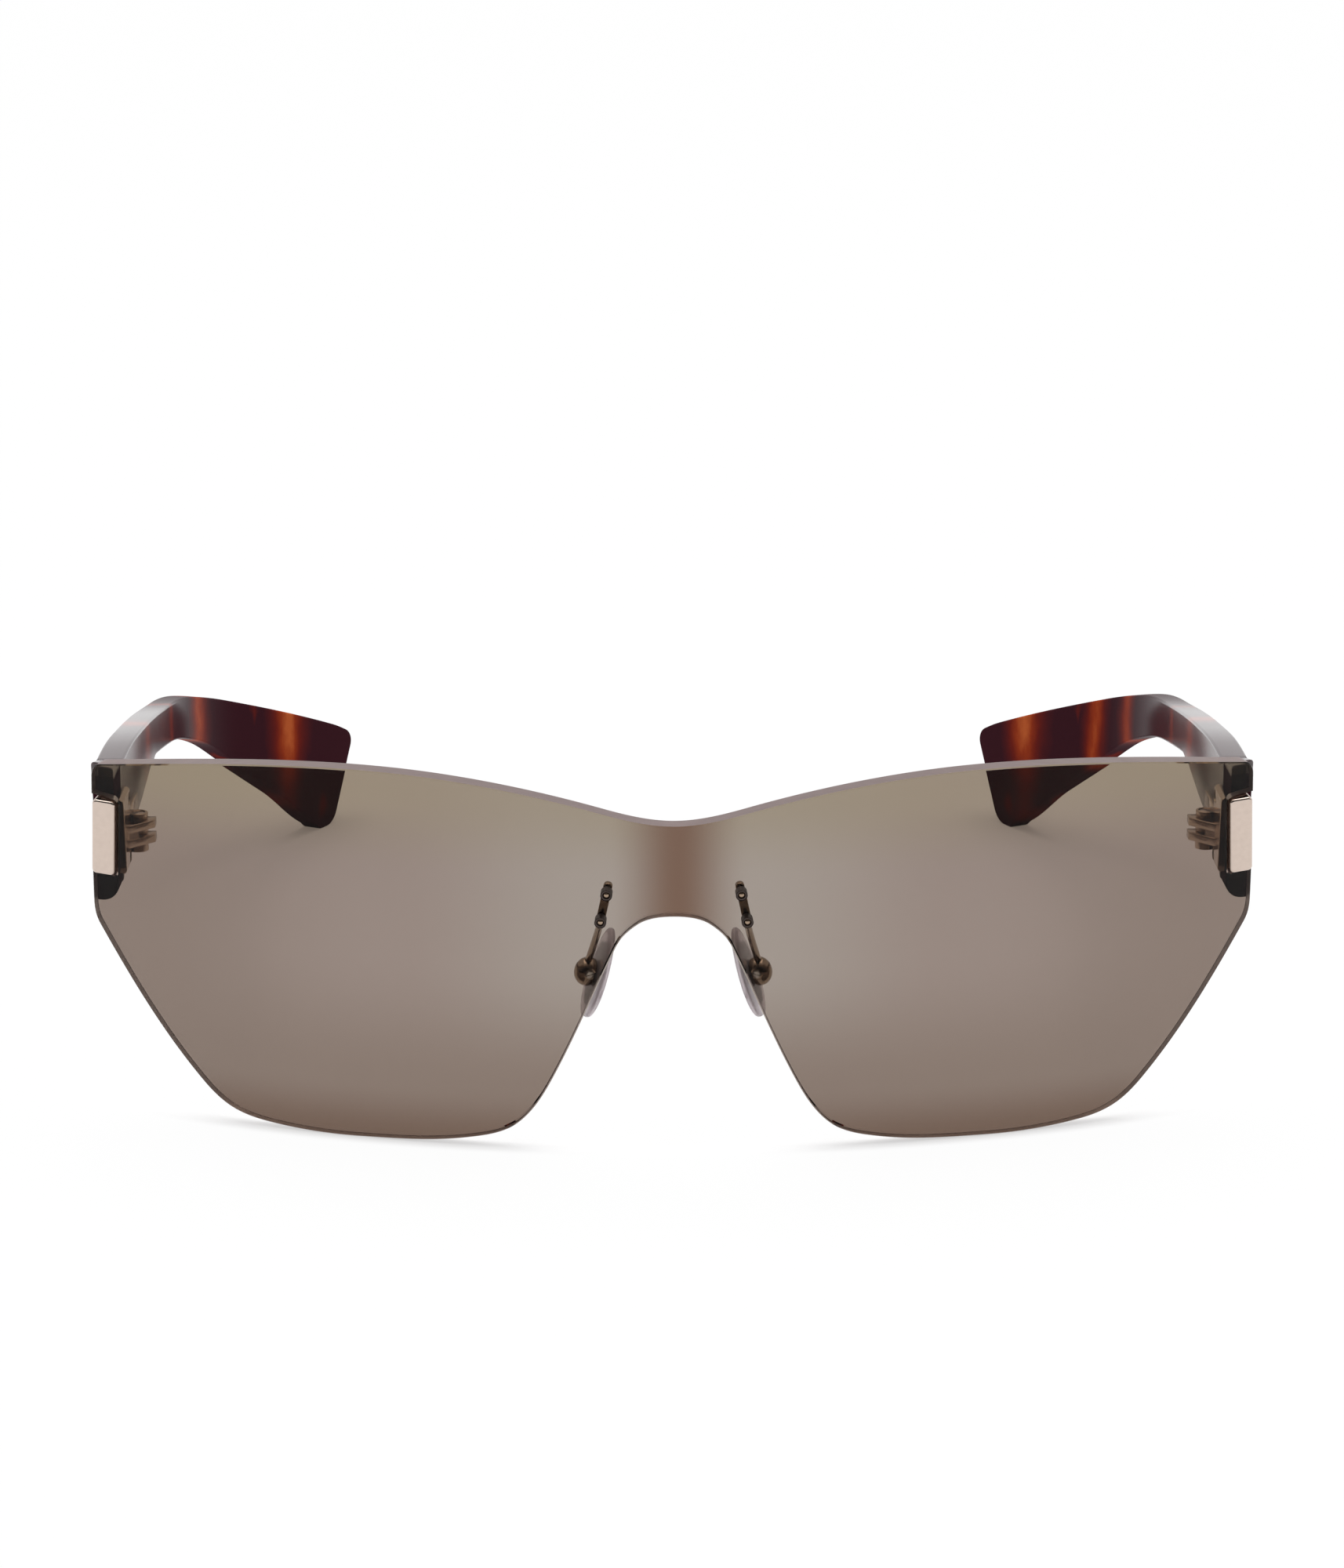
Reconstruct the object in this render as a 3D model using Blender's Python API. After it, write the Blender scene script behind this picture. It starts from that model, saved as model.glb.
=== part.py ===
"""Rimless shield sunglasses with acetate temples and metal corner plates.

Units are metres and +Z is up. The glasses stand as on a table: the two lowest points of the
lens and the flats under the temple tips touch Z = 0. X runs across the face, and the wearer's
head lies towards +Y. Every paired piece is drawn for the +X side and mirrored for the other.
"""

import math

import bmesh
import bpy
import numpy as np
from mathutils import Matrix, Vector

# Lens, one cylinder of plastic that leans forward at the top
LENS_RADIUS = 0.150
LENS_HALF_WIDTH = 0.0764
LENS_HEIGHT = 0.0509
LENS_THICKNESS = 0.0020
LENS_LEAN = math.radians(9.0)
LENS_COLUMN = 0.0040
OUTLINE_STEPS = 7

# Corner plates, polished metal in a notch at each end of the lens
PLATE_WIDTH = 0.0030
PLATE_HEIGHT = 0.0103
PLATE_INSET = 0.0009
PLATE_DROP = 0.01465
PLATE_TILT = math.radians(3.7)
PLATE_PROUD = 0.00040
PLATE_TURN = math.radians(14.3)
PLATE_CORNER = 0.0006
PLATE_CHAMFER = 0.0003
NOTCH_GAP = 0.00018
STUD_RADIUS = 0.00045
STUD_LENGTH = 0.0015
STUD_SPACING = 0.0060

# Endpieces, acetate blocks behind the ends of the lens
ACETATE_THICKNESS = 0.0035
ENDPIECE_MARGIN = 0.00034
ENDPIECE_TOP = 0.0455
ENDPIECE_RISE = 0.0011
ENDPIECE_BOTTOM = 0.0282
ENDPIECE_DEPTH = 0.0034
ENDPIECE_CORNER = 0.0026
ENDPIECE_EDGE = 0.0005
SEAT_GAP = 0.00015
JOINT_GAP = 0.0002

# Hinges, five knuckles on one vertical screw
HINGE_OFFSET = 0.00185
HINGE_SETBACK = 0.0015
HINGE_HEIGHT = 0.03605
KNUCKLE_RADIUS = 0.00127
TOP_KNUCKLE = 0.0008
MIDDLE_KNUCKLE = 0.00073
BOTTOM_KNUCKLE = 0.00115
PRONG_THICKNESS = 0.00105
PRONG_REACH = 0.0022
PRONG_NOSE = 0.0010
PRONG_SLANT = math.radians(46.0)
PRONG_STEP = 0.00012
SPINE_REACH = 0.00035
KNUCKLE_GAP = 0.00006
HINGE_SCREW_RADIUS = 0.00048
HINGE_SCREW_HEAD = 0.00085
HINGE_HEAD_HEIGHT = 0.0003
SCREW_CLEARANCE = 0.00006
BASE_THICKNESS = 0.0010
BASE_TOP = 0.0424
BASE_BOTTOM = 0.0323
BASE_CORNER = 0.0006
BASE_EDGE = 0.0002
LEAF_THICKNESS = 0.0006
LEAF_LENGTH = 0.0095
FIXING_RADIUS = 0.00045
FIXING_HEAD = 0.0008
FIXING_HEAD_HEIGHT = 0.0003
FIXING_DEPTH = 0.0016
FIXING_MARGIN = 0.0013
LEAF_FIXING_FIRST = 0.0038
LEAF_FIXING_SECOND = 0.0076

# Temples, acetate arms with a metal core in a channel from the front end
TEMPLE_LENGTH = 0.1430
TEMPLE_EDGE = 0.0006
TEMPLE_STATIONS = 33
BOW_ANGLE = math.radians(2.2)
BOW_START = 0.0080
BOW_LENGTH = 0.0200
CURL_ANGLE = math.radians(30.0)
CURL_START = 0.0680
CURL_LENGTH = 0.0520
TIP_LEAN = 0.0032
TIP_LEAN_START = 0.0950
TIP_LEAN_LENGTH = 0.0350
TIP_ROUND = 0.0024
TIP_SOFTENING = 0.0005
FOOT_LENGTH = 0.0016
CORE_RADIUS = 0.00055
CORE_CLEARANCE = 0.00012
CORE_START = 0.0006
CORE_LENGTH = 0.0880
CORE_STATIONS = 18
CORE_FRONT_DROP = 0.0044
CORE_REAR_DROP = 0.0024
CORE_DROP_START = 0.0100
CORE_DROP_LENGTH = 0.0280

# Nose pads on two-pin arms behind the lens
ARM_UPPER_PIN = (0.00825, 0.0362)
ARM_LOWER_PIN = (0.00900, 0.0325)
ARM_BAR_WIDTH = 0.0011
ARM_BAR_THICKNESS = 0.0009
ARM_BAR_OVERHANG = 0.0010
ARM_BAR_GAP = 0.00015
PIN_RADIUS = 0.00042
SLEEVE_INNER = 0.00048
SLEEVE_OUTER = 0.00066
SLEEVE_HOLE = 0.00072
SLEEVE_RECESS = 0.00005
WIRE_RADIUS = 0.00044
WIRE_RISE = 0.0030
BOX_CENTRE = (0.0107, 0.0076, 0.0214)
BOX_RADIUS = 0.00165
BOX_STRETCH_SHARE = 1.13
BOX_CUT = 0.00065
BOX_POCKET_DEPTH = 0.00085
BOX_POCKET_WIDTH = 0.00095
BOX_POCKET_HEIGHT = 0.0019
PAD_SPLAY = math.radians(14.5)
PAD_SLANT = math.radians(17.5)
PAD_GAP = 0.00022
PAD_HALF_WIDTH = 0.0034
PAD_HALF_HEIGHT = 0.0061
PAD_THICKNESS = 0.0012
PAD_TAPER_SHARE = 0.18
PAD_DOME = 0.0003
CORE_DISC_HALF_WIDTH = 0.0022
CORE_DISC_HALF_HEIGHT = 0.0042
CORE_DISC_THICKNESS = 0.00035
CORE_DISC_CLEARANCE = 0.0001
TAB_WIDTH = 0.0007
TAB_HEIGHT = 0.0011
TAB_OVERRUN = 0.00055
TAB_HOLE = 0.00036
PAD_SCREW_RADIUS = 0.0003
PAD_SCREW_HEAD = 0.00055
PAD_SCREW_HEAD_HEIGHT = 0.0003
PAD_SCREW_PROUD = 0.00012

# Facets and the overrun that cutters have past a face
ROUND_SIDES = 16
SMALL_SIDES = 12
CORNER_STEPS = 3
OVERRUN = 0.0004

# X of the inner faces of the endpieces and temples: in from the ends of the lens
ENDPIECE_INNER_X = (
    LENS_RADIUS * math.sin(LENS_HALF_WIDTH / LENS_RADIUS) - ENDPIECE_MARGIN - ACETATE_THICKNESS
)

# Half outline of the lens: across as a share of the half width, up as a share of the height,
# and the heading of the edge in degrees, going from the nose arch round to the top dip
LENS_KNOT_SHARES = (
    (0.0000, 0.6564, 0.0),
    (0.0602, 0.6328, -38.0),
    (0.0916, 0.5788, -66.0),
    (0.1990, 0.2065, -64.0),
    (0.2565, 0.0817, -41.0),
    (0.3403, 0.0326, -12.0),
    (0.5236, 0.0041, -4.0),
    (0.6872, 0.0059, 5.0),
    (0.7539, 0.0297, 26.0),
    (0.8024, 0.0857, 46.0),
    (0.9908, 0.4648, 57.5),
    (1.0000, 0.5180, 89.0),
    (1.0000, 0.5300, 91.0),
    (0.9911, 0.8656, 93.0),
    (0.9751, 0.9010, 168.0),
    (0.4712, 1.0000, 180.0),
    (0.1178, 0.9255, 195.5),
    (0.0000, 0.8941, 180.0),
)

# Side outline of a temple: along as a share of its length, up as a share of the front top's
# height, and the heading in degrees
TEMPLE_TOP_SHARES = (
    (0.000, 1.000, 0.0),
    (0.056, 0.996, -3.0),
    (0.181, 0.945, -9.5),
    (0.328, 0.862, -10.8),
    (0.516, 0.744, -11.2),
    (0.645, 0.668, -14.0),
    (0.740, 0.583, -18.0),
    (0.955, 0.346, -21.0),
    (1.000, 0.280, -26.0),
)
TEMPLE_LOW_SHARES = (
    (0.000, 0.650, 34.0),
    (0.042, 0.722, 14.0),
    (0.139, 0.747, 1.0),
    (0.293, 0.751, 0.0),
    (0.321, 0.744, -11.0),
    (0.502, 0.628, -11.8),
    (0.620, 0.547, -16.0),
    (0.704, 0.453, -27.0),
    (0.753, 0.361, -32.0),
    (0.843, 0.184, -32.0),
    (0.917, 0.020, -28.0),
    (0.926, 0.000, 0.0),
    (1.000, 0.000, 0.0),
)

# Finishes: base colour, roughness, metallic and alpha
FINISHES = {
    "lens_tint": ((0.24, 0.21, 0.18, 1.0), 0.05, 0.0, 0.60),
    "tortoise_acetate": ((0.055, 0.018, 0.012, 1.0), 0.15, 0.0, 1.0),
    "pale_gold": ((0.83, 0.72, 0.62, 1.0), 0.12, 1.0, 1.0),
    "steel": ((0.60, 0.58, 0.55, 1.0), 0.25, 1.0, 1.0),
    "clear_silicone": ((0.85, 0.84, 0.84, 1.0), 0.20, 0.0, 0.50),
    "nylon": ((0.88, 0.87, 0.84, 1.0), 0.40, 0.0, 1.0),
}


def make_material(name):
    """Principled material for one of the named finishes."""
    colour, roughness, metallic, alpha = FINISHES[name]
    material = bpy.data.materials.new(name)
    material.use_nodes = True
    shader = material.node_tree.nodes["Principled BSDF"]
    shader.inputs["Base Color"].default_value = colour
    shader.inputs["Roughness"].default_value = roughness
    shader.inputs["Metallic"].default_value = metallic
    shader.inputs["Alpha"].default_value = alpha
    return material


def smooth_step(value, start, length):
    """Rise from 0 to 1 between start and start + length, level at both ends."""
    share = np.clip((np.asarray(value) - start) / length, 0.0, 1.0)
    return share * share * (3.0 - 2.0 * share)


def knot_curve(knots, steps):
    """Cubic Bezier curve through (x, y, heading in degrees) knots.

    Each handle is a third of the chord, a little longer where the heading turns, which
    follows a round arc closely.
    """
    points = []
    for first, second in zip(knots[:-1], knots[1:]):
        start = np.array(first[:2])
        end = np.array(second[:2])
        turn = math.radians((second[2] - first[2] + 180.0) % 360.0 - 180.0)
        handle = np.linalg.norm(end - start) / 3.0 * (1.0 + turn * turn / 20.0)
        leave = math.radians(first[2])
        arrive = math.radians(second[2])
        near = start + handle * np.array([math.cos(leave), math.sin(leave)])
        far = end - handle * np.array([math.cos(arrive), math.sin(arrive)])
        for step in range(steps):
            t = step / steps
            points.append(
                (1 - t) ** 3 * start
                + 3 * (1 - t) ** 2 * t * near
                + 3 * (1 - t) * t * t * far
                + t ** 3 * end
            )
    points.append(np.array(knots[-1][:2]))
    return np.array(points)


def scaled_knots(shares, width, height):
    """Knots in metres from shares of a width and a height."""
    return [(across * width, up * height, heading) for across, up, heading in shares]


def rounded_rectangle(half_width, half_height, radius, steps=CORNER_STEPS):
    """Counter-clockwise outline of a rectangle with rounded corners, centred on zero."""
    outline = []
    corners = ((1, 1, 0.0), (-1, 1, 0.5), (-1, -1, 1.0), (1, -1, 1.5))
    for sign_x, sign_y, turn in corners:
        centre_x = sign_x * (half_width - radius)
        centre_y = sign_y * (half_height - radius)
        for step in range(steps):
            angle = (turn + 0.5 * step / (steps - 1)) * math.pi
            outline.append(
                (centre_x + radius * math.cos(angle), centre_y + radius * math.sin(angle))
            )
    return outline


def circle(radius, sides=ROUND_SIDES):
    """Counter-clockwise circle in a plane."""
    turns = [2.0 * math.pi * side / sides for side in range(sides)]
    return [(radius * math.cos(turn), radius * math.sin(turn)) for turn in turns]


def mesh_from(points, faces):
    """Closed mesh from points and faces, with its faces turned outwards."""
    mesh = bpy.data.meshes.new("shape")
    mesh.from_pydata([tuple(point) for point in points], [], faces)
    body = bmesh.new()
    body.from_mesh(mesh)
    bmesh.ops.recalc_face_normals(body, faces=body.faces)
    body.to_mesh(mesh)
    body.free()
    return mesh


def loft(rings):
    """Closed mesh through rings of equal length, capped at both ends."""
    size = len(rings[0])
    points = [point for ring in rings for point in ring]
    faces = []
    for ring in range(len(rings) - 1):
        for side in range(size):
            near = ring * size + side
            next_near = ring * size + (side + 1) % size
            faces.append((near, next_near, next_near + size, near + size))
    last = (len(rings) - 1) * size
    faces.append(tuple(reversed(range(size))))
    faces.append(tuple(range(last, last + size)))
    return mesh_from(points, faces)


def prism(outline, low, high):
    """Upright prism over an outline in X and Y, between two heights."""
    rings = [[(x, y, height) for x, y in outline] for height in (low, high)]
    return loft(rings)


def rod(start, end, radius, sides=ROUND_SIDES):
    """Straight round rod between two points."""
    start = Vector(start)
    end = Vector(end)
    turn = (end - start).to_track_quat("Z", "Y")
    rings = []
    for centre in (start, end):
        rings.append([centre + turn @ Vector((x, y, 0.0)) for x, y in circle(radius, sides)])
    return loft(rings)


def tube_along(points, radius, sides):
    """Round tube along a smooth row of points, with flat ends."""
    points = [Vector(point) for point in points]
    rings = []
    for index, point in enumerate(points):
        before = points[max(index - 1, 0)]
        after = points[min(index + 1, len(points) - 1)]
        direction = (after - before).normalized()
        side_way = direction.cross(Vector((1.0, 0.0, 0.0))).normalized()
        up_way = direction.cross(side_way)
        rings.append([point + side_way * x + up_way * y for x, y in circle(radius, sides)])
    return loft(rings)


def moved(mesh, matrix):
    """The same mesh after a placement."""
    mesh.transform(matrix)
    return mesh


def combine(base, tools, operation):
    """Boolean of a mesh with several others, applied."""
    holder = bpy.data.objects.new("holder", base)
    bpy.context.collection.objects.link(holder)
    cutters = []
    for tool in tools:
        cutter = bpy.data.objects.new("cutter", tool)
        cutter.hide_render = True
        cutter.display_type = "WIRE"
        bpy.context.collection.objects.link(cutter)
        modifier = holder.modifiers.new("boolean", "BOOLEAN")
        modifier.operation = operation
        modifier.solver = "EXACT"
        modifier.object = cutter
        cutters.append(cutter)
    depsgraph = bpy.context.evaluated_depsgraph_get()
    result = bpy.data.meshes.new_from_object(holder.evaluated_get(depsgraph))
    for spare in cutters + [holder]:
        bpy.data.objects.remove(spare)
    return result


def cut(base, tools):
    """Base without the tools."""
    return combine(base, tools, "DIFFERENCE")


def join(base, tools):
    """Base and the tools as one body."""
    return combine(base, tools, "UNION")


def lens_chains():
    """Lower and upper edge of the right half of the lens, as across and up in metres."""
    outline = knot_curve(
        scaled_knots(LENS_KNOT_SHARES, LENS_HALF_WIDTH, LENS_HEIGHT), OUTLINE_STEPS
    )
    outer = int(np.argmax(outline[:, 0]))
    return outline[: outer + 1], outline[outer + 1:][::-1]


def leaned(x, depth_y, up):
    """World place of a point of the upright lens, leaned forward about the floor line."""
    y = depth_y * math.cos(LENS_LEAN) - up * math.sin(LENS_LEAN)
    z = depth_y * math.sin(LENS_LEAN) + up * math.cos(LENS_LEAN)
    return x, y, z


def lens_lift():
    """How far the lens rises so that its lowest points touch the floor."""
    lower, _ = lens_chains()
    depth_y = LENS_RADIUS * (1.0 - np.cos(lower[:, 0] / LENS_RADIUS))
    _, _, height = leaned(0.0, depth_y, lower[:, 1])
    return -float(np.min(height))


def lens_point(across, up, depth):
    """World point at an arc length across, a height up and a depth behind the front face."""
    radius = LENS_RADIUS - depth
    angle = across / LENS_RADIUS
    x, y, z = leaned(radius * math.sin(angle), LENS_RADIUS - radius * math.cos(angle), up)
    return Vector((x, y, z + LENS_LIFT))


def lens_frame(across, up):
    """Placement whose X runs across the lens, Y up it and Z out of its front face."""
    angle = across / LENS_RADIUS
    right = Vector(leaned(math.cos(angle), math.sin(angle), 0.0))
    above = Vector(leaned(0.0, 0.0, 1.0))
    outward = right.cross(above)
    frame = Matrix((right, above, outward)).transposed().to_4x4()
    frame.translation = lens_point(across, up, 0.0)
    return frame


def lens_back_y(x, z, depth):
    """Y where the surface at a depth behind the lens front crosses a given X and Z."""
    radius = LENS_RADIUS - depth
    depth_y = LENS_RADIUS - math.sqrt(radius * radius - x * x)
    return depth_y / math.cos(LENS_LEAN) - (z - LENS_LIFT) * math.tan(LENS_LEAN)


def plate_frame():
    """Placement of a corner plate: on the lens, tilted upright and turned towards the front."""
    across = LENS_HALF_WIDTH - PLATE_INSET - PLATE_WIDTH / 2
    frame = lens_frame(across, LENS_HEIGHT - PLATE_DROP)
    return frame @ Matrix.Rotation(PLATE_TILT, 4, "Z") @ Matrix.Rotation(-PLATE_TURN, 4, "Y")


def plate_seat(across):
    """Height of the lens back in the plate's frame, which falls away outwards."""
    return -LENS_THICKNESS / math.cos(PLATE_TURN) - across * math.tan(PLATE_TURN)


def make_lens():
    """Lens body: strips between columns, bent round the cylinder, less notches and holes."""
    lower, upper = lens_chains()
    columns = np.unique(np.round(np.concatenate([
        lower[:, 0],
        upper[:, 0],
        np.arange(0.0, LENS_HALF_WIDTH, LENS_COLUMN),
    ]), 6))
    keep = np.concatenate([[True], np.diff(columns) > LENS_THICKNESS / 5])
    keep[-1] = True
    columns = columns[keep]
    columns = np.concatenate([-columns[:0:-1], columns])
    low = np.interp(np.abs(columns), lower[:, 0], lower[:, 1])
    high = np.interp(np.abs(columns), upper[:, 0], upper[:, 1])
    rings = []
    for across, bottom, top in zip(columns, low, high):
        rings.append([
            lens_point(across, bottom, 0.0),
            lens_point(across, bottom, LENS_THICKNESS),
            lens_point(across, top, LENS_THICKNESS),
            lens_point(across, top, 0.0),
        ])
    body = loft(rings)
    tools = []
    for side in (-1, 1):
        notch = rounded_rectangle(
            PLATE_WIDTH / 2 + NOTCH_GAP,
            PLATE_HEIGHT / 2 + NOTCH_GAP,
            PLATE_CORNER,
        )
        reach = PLATE_WIDTH + PLATE_INSET + OVERRUN
        notch = [(x + reach, y) if x > 0 else (x, y) for x, y in notch]
        cutter = prism(notch, plate_seat(reach) - OVERRUN, -plate_seat(reach))
        cutter = moved(cutter, plate_frame())
        tools.append(mirrored(cutter, side))
        for across, up in (ARM_UPPER_PIN, ARM_LOWER_PIN):
            hole = prism(circle(SLEEVE_HOLE, SMALL_SIDES), -LENS_THICKNESS - OVERRUN, OVERRUN)
            tools.append(mirrored(moved(hole, lens_frame(across, up)), side))
    return cut(body, tools)


def mirrored(mesh, side):
    """Copy of a right-hand mesh for one side: +1 as drawn, -1 across the middle plane."""
    copy = mesh.copy()
    if side < 0:
        copy.transform(Matrix.Scale(-1.0, 4, (1.0, 0.0, 0.0)))
        copy.flip_normals()
    return copy


def lens_backed_block(outline, depth, back_y, rise=0.0):
    """Block over an X-Z outline, from a depth behind the lens front to an upright plane.

    Its top rises by a little towards the lens, square to the leaning face.
    """
    low_z = min(z for _, z in outline)
    height = max(z for _, z in outline) - low_z
    front = []
    for x, z in outline:
        raised = z + rise * (z - low_z) / height
        front.append((x, lens_back_y(x, raised, depth), raised))
    back = [(x, back_y, z) for x, z in outline]
    return loft([back, front])


def corner_outline(low_x, high_x, low_z, high_z, radius, top_radius, low_radius):
    """Rectangle in X and Z whose two inner corners, top and low, have radii of their own."""
    outline = []
    corners = (
        (high_x, high_z, -1, -1, radius, 0.0),
        (low_x, high_z, 1, -1, top_radius, 0.5),
        (low_x, low_z, 1, 1, low_radius, 1.0),
        (high_x, low_z, -1, 1, radius, 1.5),
    )
    for corner_x, corner_z, way_x, way_z, size, turn in corners:
        steps = CORNER_STEPS if size <= radius else CORNER_STEPS * 2
        for step in range(steps):
            angle = (turn + 0.5 * step / (steps - 1)) * math.pi
            outline.append((
                corner_x + way_x * size + size * math.cos(angle),
                corner_z + way_z * size + size * math.sin(angle),
            ))
    return outline


def stud_places():
    """Up-plate offsets of the two studs behind a corner plate."""
    return -STUD_SPACING / 2, STUD_SPACING / 2


def fixing_heights():
    """Heights of the two screws that hold a hinge block to its endpiece."""
    return BASE_BOTTOM + FIXING_MARGIN, BASE_TOP - FIXING_MARGIN


def fixing_y():
    """Y of the screws through the hinge block, a margin in front of its back."""
    return JOINT_Y - FIXING_MARGIN


def make_corner_plate():
    """Metal block through the notch, its face turned less than the lens, with two studs."""
    face = PLATE_PROUD + PLATE_WIDTH / 2 * math.tan(PLATE_TURN)
    outline = rounded_rectangle(PLATE_WIDTH / 2, PLATE_HEIGHT / 2, PLATE_CORNER)
    inset = rounded_rectangle(
        PLATE_WIDTH / 2 - PLATE_CHAMFER, PLATE_HEIGHT / 2 - PLATE_CHAMFER, PLATE_CORNER
    )
    body = loft([
        [(x, y, plate_seat(x)) for x, y in outline],
        [(x, y, face - PLATE_CHAMFER) for x, y in outline],
        [(x, y, face) for x, y in inset],
    ])
    studs = []
    for up in stud_places():
        stud = prism(
            circle(STUD_RADIUS, SMALL_SIDES), plate_seat(0.0) - STUD_LENGTH, 0.0
        )
        studs.append(moved(stud, Matrix.Translation((0.0, up, 0.0))))
    return moved(join(body, studs), plate_frame())


def make_endpiece():
    """Acetate block that follows the lens in front and is square to the temple behind."""
    outline = corner_outline(
        ENDPIECE_INNER_X,
        ENDPIECE_INNER_X + ACETATE_THICKNESS,
        ENDPIECE_BOTTOM,
        ENDPIECE_TOP,
        ENDPIECE_EDGE,
        ENDPIECE_EDGE,
        ENDPIECE_CORNER,
    )
    body = lens_backed_block(
        outline, LENS_THICKNESS + SEAT_GAP, JOINT_Y, ENDPIECE_RISE
    )
    tools = []
    for up in stud_places():
        hole = prism(
            circle(STUD_RADIUS + SCREW_CLEARANCE, SMALL_SIDES),
            plate_seat(0.0) - STUD_LENGTH - SEAT_GAP,
            0.0,
        )
        hole = moved(hole, plate_frame() @ Matrix.Translation((0.0, up, 0.0)))
        tools.append(hole)
    for height in fixing_heights():
        tools.append(rod(
            (ENDPIECE_INNER_X - OVERRUN, fixing_y(), height),
            (ENDPIECE_INNER_X + FIXING_DEPTH + SEAT_GAP, fixing_y(), height),
            FIXING_RADIUS + SCREW_CLEARANCE,
            SMALL_SIDES,
        ))
    return cut(body, tools)


def knuckle_levels():
    """Low and high Z of the five knuckles, from the bottom one up."""
    heights = (
        BOTTOM_KNUCKLE, PRONG_THICKNESS, MIDDLE_KNUCKLE, PRONG_THICKNESS, TOP_KNUCKLE
    )
    total = sum(heights) + KNUCKLE_GAP * (len(heights) - 1)
    level = HINGE_HEIGHT - total / 2
    levels = []
    for height in heights:
        levels.append((level, level + height))
        level += height + KNUCKLE_GAP
    return levels


def make_hinge_block():
    """Front half of the hinge: base on the endpiece, spine and two prongs."""
    base_high_x = ENDPIECE_INNER_X - SEAT_GAP
    base_low_x = base_high_x - BASE_THICKNESS
    back_y = JOINT_Y - SEAT_GAP
    base = lens_backed_block(
        corner_outline(
            base_low_x, base_high_x, BASE_BOTTOM, BASE_TOP, BASE_EDGE, BASE_CORNER, BASE_CORNER
        ),
        LENS_THICKNESS + SEAT_GAP,
        back_y,
    )

    tip_x = HINGE_X - PRONG_REACH
    tip_y = HINGE_Y - PRONG_NOSE * 2 / 3
    root_x = base_low_x + BASE_THICKNESS / 2
    root_back = back_y - PRONG_STEP
    fall = math.tan(PRONG_SLANT)
    prong_outline = [
        (tip_x, tip_y),
        (root_x, tip_y - (root_x - tip_x) * fall),
        (root_x, root_back),
        (HINGE_X + PRONG_NOSE, root_back),
    ]
    for step in range(CORNER_STEPS + 1):
        angle = 0.5 * math.pi * step / CORNER_STEPS
        prong_outline.append((
            HINGE_X + PRONG_NOSE * math.cos(angle),
            HINGE_Y + PRONG_NOSE * math.sin(angle),
        ))
    prong_outline.append((tip_x, HINGE_Y + PRONG_NOSE))

    spine_x = HINGE_X - SPINE_REACH
    spine_root_x = root_x - PRONG_STEP
    clear_y = HINGE_Y - KNUCKLE_RADIUS - SEAT_GAP
    spine_outline = [
        (spine_x, tip_y - (spine_x - tip_x) * fall + PRONG_STEP),
        (spine_root_x, tip_y - (spine_root_x - tip_x) * fall + PRONG_STEP),
        (spine_root_x, clear_y),
        (spine_x, clear_y),
    ]
    levels = knuckle_levels()
    spine = prism(spine_outline, levels[1][0] + OVERRUN, levels[3][1] - OVERRUN)
    prongs = [prism(prong_outline, *levels[index]) for index in (1, 3)]
    body = join(base, [spine] + prongs)

    tools = [rod(
        (HINGE_X, HINGE_Y, levels[0][0]),
        (HINGE_X, HINGE_Y, levels[4][1]),
        HINGE_SCREW_RADIUS + SCREW_CLEARANCE,
    )]
    for height in fixing_heights():
        tools.append(rod(
            (base_low_x - OVERRUN, fixing_y(), height),
            (base_high_x + OVERRUN, fixing_y(), height),
            FIXING_RADIUS + SCREW_CLEARANCE,
            SMALL_SIDES,
        ))
        tools.append(rod(
            (base_low_x - OVERRUN, fixing_y(), height),
            (base_low_x + FIXING_HEAD_HEIGHT + KNUCKLE_GAP * 2, fixing_y(), height),
            FIXING_HEAD + SCREW_CLEARANCE,
            SMALL_SIDES,
        ))
    return cut(body, tools)


def countersunk(start, direction, head_radius, head_height, radius, length, sides):
    """Screw whose head begins at start and whose shank runs on along a direction."""
    start = Vector(start)
    direction = Vector(direction).normalized()
    turn = direction.to_track_quat("Z", "Y")
    profile = (
        (head_radius * 0.9, 0.0),
        (head_radius, head_height * 0.3),
        (head_radius, head_height),
        (radius, head_height),
        (radius, head_height + length),
    )
    rings = []
    for size, along in profile:
        rings.append([
            start + turn @ Vector((x, y, along)) for x, y in circle(size, sides)
        ])
    return loft(rings)


def make_block_fixing(height):
    """Screw that holds the hinge block to the endpiece."""
    start_x = ENDPIECE_INNER_X - SEAT_GAP - BASE_THICKNESS + KNUCKLE_GAP
    reach = ENDPIECE_INNER_X + FIXING_DEPTH - start_x - FIXING_HEAD_HEIGHT
    return countersunk(
        (start_x, fixing_y(), height),
        (1, 0, 0),
        FIXING_HEAD,
        FIXING_HEAD_HEIGHT,
        FIXING_RADIUS,
        reach,
        SMALL_SIDES,
    )


def make_hinge_screw():
    """Vertical screw on the hinge axis, its head let into the top knuckle."""
    levels = knuckle_levels()
    top = levels[4][1] - KNUCKLE_GAP / 2
    return countersunk(
        (HINGE_X, HINGE_Y, top),
        (0, 0, -1),
        HINGE_SCREW_HEAD,
        HINGE_HEAD_HEIGHT,
        HINGE_SCREW_RADIUS,
        top - HINGE_HEAD_HEIGHT - levels[0][0],
        ROUND_SIDES,
    )


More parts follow.
